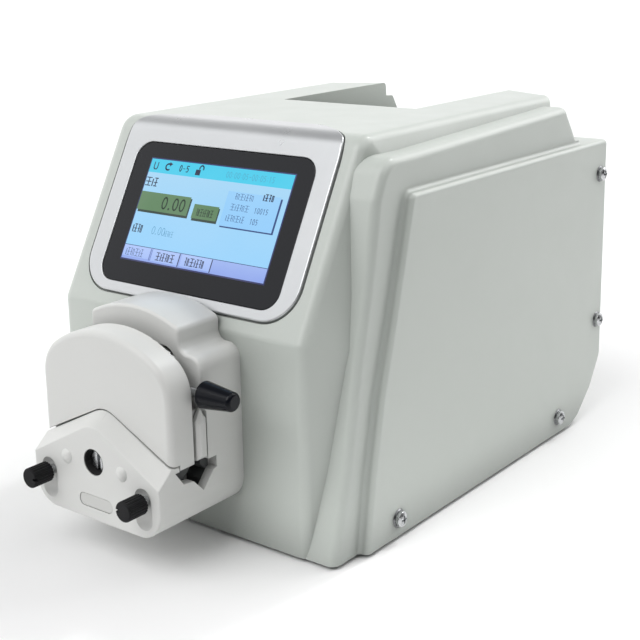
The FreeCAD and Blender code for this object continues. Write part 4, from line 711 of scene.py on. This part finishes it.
ink.arc(0.135, 0.066, 0.018, 0.030, 60, 300, 0.0085)
ink.poly([(0.139, 0.016), (0.163, 0.034), (0.143, 0.062)])
ink.number("0-5", 0.218, 0.032, 0.019, 0.066, 0.0052, 0.3)
ink.rect(0.338, 0.058, 0.372, 0.112)
ink.arc(0.375, 0.046, 0.014, 0.030, -10, 185, 0.0075)
ink.marks(0.004, 0.185, 0.040, 0.088, 2, 0.0065)
ink.marks(0.016, 0.655, 0.032, 0.082, 2, 0.0060, 0.2, 1)
ink.marks(0.245, 0.893, 0.028, 0.078, 4, 0.0052, 0.22, 0)
ink.marks(0.455, 0.893, 0.028, 0.078, 4, 0.0052, 0.22, 2)
ink.marks(0.842, 0.205, 0.031, 0.066, 2, 0.0060, 0.2, 1)
ink.rect(0.408, 0.872, 0.414, 0.995); ink.rect(0.634, 0.872, 0.640, 0.995)
ink.done("display_dark_marks")
ib = Sheet("ink_blue", 3)
ib.rect(0.0, 0.862, 1.0, 0.868)
ib.marks(0.022, 0.893, 0.027, 0.074, 4, 0.0030, 0.22, 1)
ib.rect(0.199, 0.875, 0.202, 0.985); ib.rect(0.208, 0.875, 0.210, 0.985)
ib.marks(0.658, 0.232, 0.026, 0.060, 4, 0.0026, 0.22, 2)
ib.marks(0.648, 0.335, 0.026, 0.060, 4, 0.0026, 0.22, 0)
ib.number("10015", 0.808, 0.342, 0.014, 0.055, 0.0028, 0.35)
ib.marks(0.638, 0.440, 0.026, 0.060, 4, 0.0026, 0.22, 1)
ib.number("105", 0.800, 0.447, 0.014, 0.055, 0.0028, 0.35)
ib.done("display_blue_marks")
ft = Sheet("faint", 3)
ft.number("0.00", 0.160, 0.655, 0.022, 0.078, 0.0030, 0.25)
ft.marks(0.255, 0.680, 0.018, 0.055, 3, 0.0024, 0.25, 1)
ft.number("00:00:05 00:05:15".replace(" ", "-"), 0.555, 0.040, 0.016, 0.060, 0.0026, 0.32)
ft.done("display_faint_marks")
gd = Sheet("green_dark", 3)
gd.number("0.00", 0.170, 0.358, 0.040, 0.125, 0.0085, 0.22)
gd.marks(0.430, 0.425, 0.020, 0.070, 5, 0.0040, 0.2, 2)
gd.done("display_dark_digits")

# ------------------------------------------------------------ floor, world and lights
AWAY = Vector((-math.sin(CAM_AZ), math.cos(CAM_AZ), 0.0))      # level direction away from the camera


def floor():
    bm = bmesh.new()
    n, R = 64, 40.0
    ring0 = [bm.verts.new((1.2 * math.cos(2 * math.pi * i / n), 1.2 * math.sin(2 * math.pi * i / n), 0.0)) for i in range(n)]
    ring1 = [bm.verts.new((R * math.cos(2 * math.pi * i / n), R * math.sin(2 * math.pi * i / n), 0.0)) for i in range(n)]
    bm.faces.new(ring0)
    for i in range(n):
        bm.faces.new((ring0[i], ring1[i], ring1[(i + 1) % n], ring0[(i + 1) % n]))
    bmesh.ops.recalc_face_normals(bm, faces=bm.faces)
    m = Mat("floor_paper")
    sep = m.node("ShaderNodeSeparateXYZ")
    m.link(m.pos, sep.inputs[0])
    along = m.math("ADD", m.math("MULTIPLY", sep.outputs["X"], AWAY.x), m.math("MULTIPLY", sep.outputs["Y"], AWAY.y))
    near = m.span(along, 0.0, 1.0, -0.40, -0.21)
    c = m.mix(m.span(m.noise(6.0, 2.0), 0, 1), (0.885, 0.885, 0.885), (0.90, 0.90, 0.90))
    m.colour(m.mix(near, (0.34, 0.34, 0.34), c))
    m.set(Roughness=0.75, Specular_IOR_Level=0.2)
    o = new_object("floor", bm, [m.m])
    if o.data.polygons[0].normal.z < 0:
        o.data.flip_normals()


floor()

world = bpy.data.worlds.new("studio")
bpy.context.scene.world = world
world.use_nodes = True
wt = world.node_tree
bgn = wt.nodes["Background"]
tc = wt.nodes.new("ShaderNodeTexCoord")
sx = wt.nodes.new("ShaderNodeSeparateXYZ")
wt.links.new(tc.outputs["Generated"], sx.inputs[0])


def wmath(op, a, b):
    n = wt.nodes.new("ShaderNodeMath")
    n.operation = op
    for k, v in zip(n.inputs, (a, b)):
        if isinstance(v, (int, float)):
            k.default_value = v
        else:
            wt.links.new(v, k)
    return n.outputs[0]


def wspan(v, a, b, lo, hi):
    n = wt.nodes.new("ShaderNodeMapRange")
    n.interpolation_type = "SMOOTHSTEP"
    wt.links.new(v, n.inputs["Value"])
    for k, x in (("From Min", a), ("From Max", b), ("To Min", lo), ("To Max", hi)):
        n.inputs[k].default_value = x
    return n.outputs["Result"]


W_FRONT, W_BACK, W_TOP, SOFTBOX = 0.05, 1.05, 0.18, 0.90
toward = wmath("ADD", wmath("MULTIPLY", sx.outputs["X"], AWAY.x), wmath("MULTIPLY", sx.outputs["Y"], AWAY.y))
level = wspan(toward, -0.15, 0.75, W_FRONT, W_BACK)
high = wspan(sx.outputs["Z"], 0.30, 0.85, 0.0, 1.0)
value = wmath("ADD", wmath("MULTIPLY", level, wmath("SUBTRACT", 1.0, high)), wmath("MULTIPLY", high, W_TOP))
BOX_DIR = (-0.70, -0.56, 0.44)
box_dot = wmath("ADD", wmath("ADD", wmath("MULTIPLY", sx.outputs["X"], BOX_DIR[0]), wmath("MULTIPLY", sx.outputs["Y"], BOX_DIR[1])),
                wmath("MULTIPLY", sx.outputs["Z"], BOX_DIR[2]))
value = wmath("ADD", value, wspan(box_dot, 0.78, 0.93, 0.0, SOFTBOX))
comb = wt.nodes.new("ShaderNodeCombineColor")
wt.links.new(value, comb.inputs[0])
wt.links.new(value, comb.inputs[1])
wt.links.new(wmath("MULTIPLY", value, 1.01), comb.inputs[2])
wt.links.new(comb.outputs[0], bgn.inputs["Color"])
bgn.inputs["Strength"].default_value = 1.0


def lamp(name, azimuth, elevation, energy, angle, colour=(1, 1, 1)):
    """Distant soft light; azimuth 0 is straight ahead of the front, positive towards +x."""
    d = bpy.data.lights.new(name, "SUN")
    d.energy, d.angle, d.color = energy, math.radians(angle), colour
    o = bpy.data.objects.new(name, d)
    bpy.context.scene.collection.objects.link(o)
    a, e = math.radians(azimuth), math.radians(elevation)
    src = Vector((math.sin(a) * math.cos(e), -math.cos(a) * math.cos(e), math.sin(e)))
    o.location = src * 3.0
    o.rotation_euler = src.to_track_quat("Z", "Y").to_euler()
    return o


lamp("key", -6.0, 50.0, 1.60, 44.0)
lamp("rim", 158.0, 34.0, 1.10, 40.0)
lamp("edge", 176.0, 52.0, 0.55, 5.0)
lamp("top", 105.0, 62.0, 0.72, 60.0)
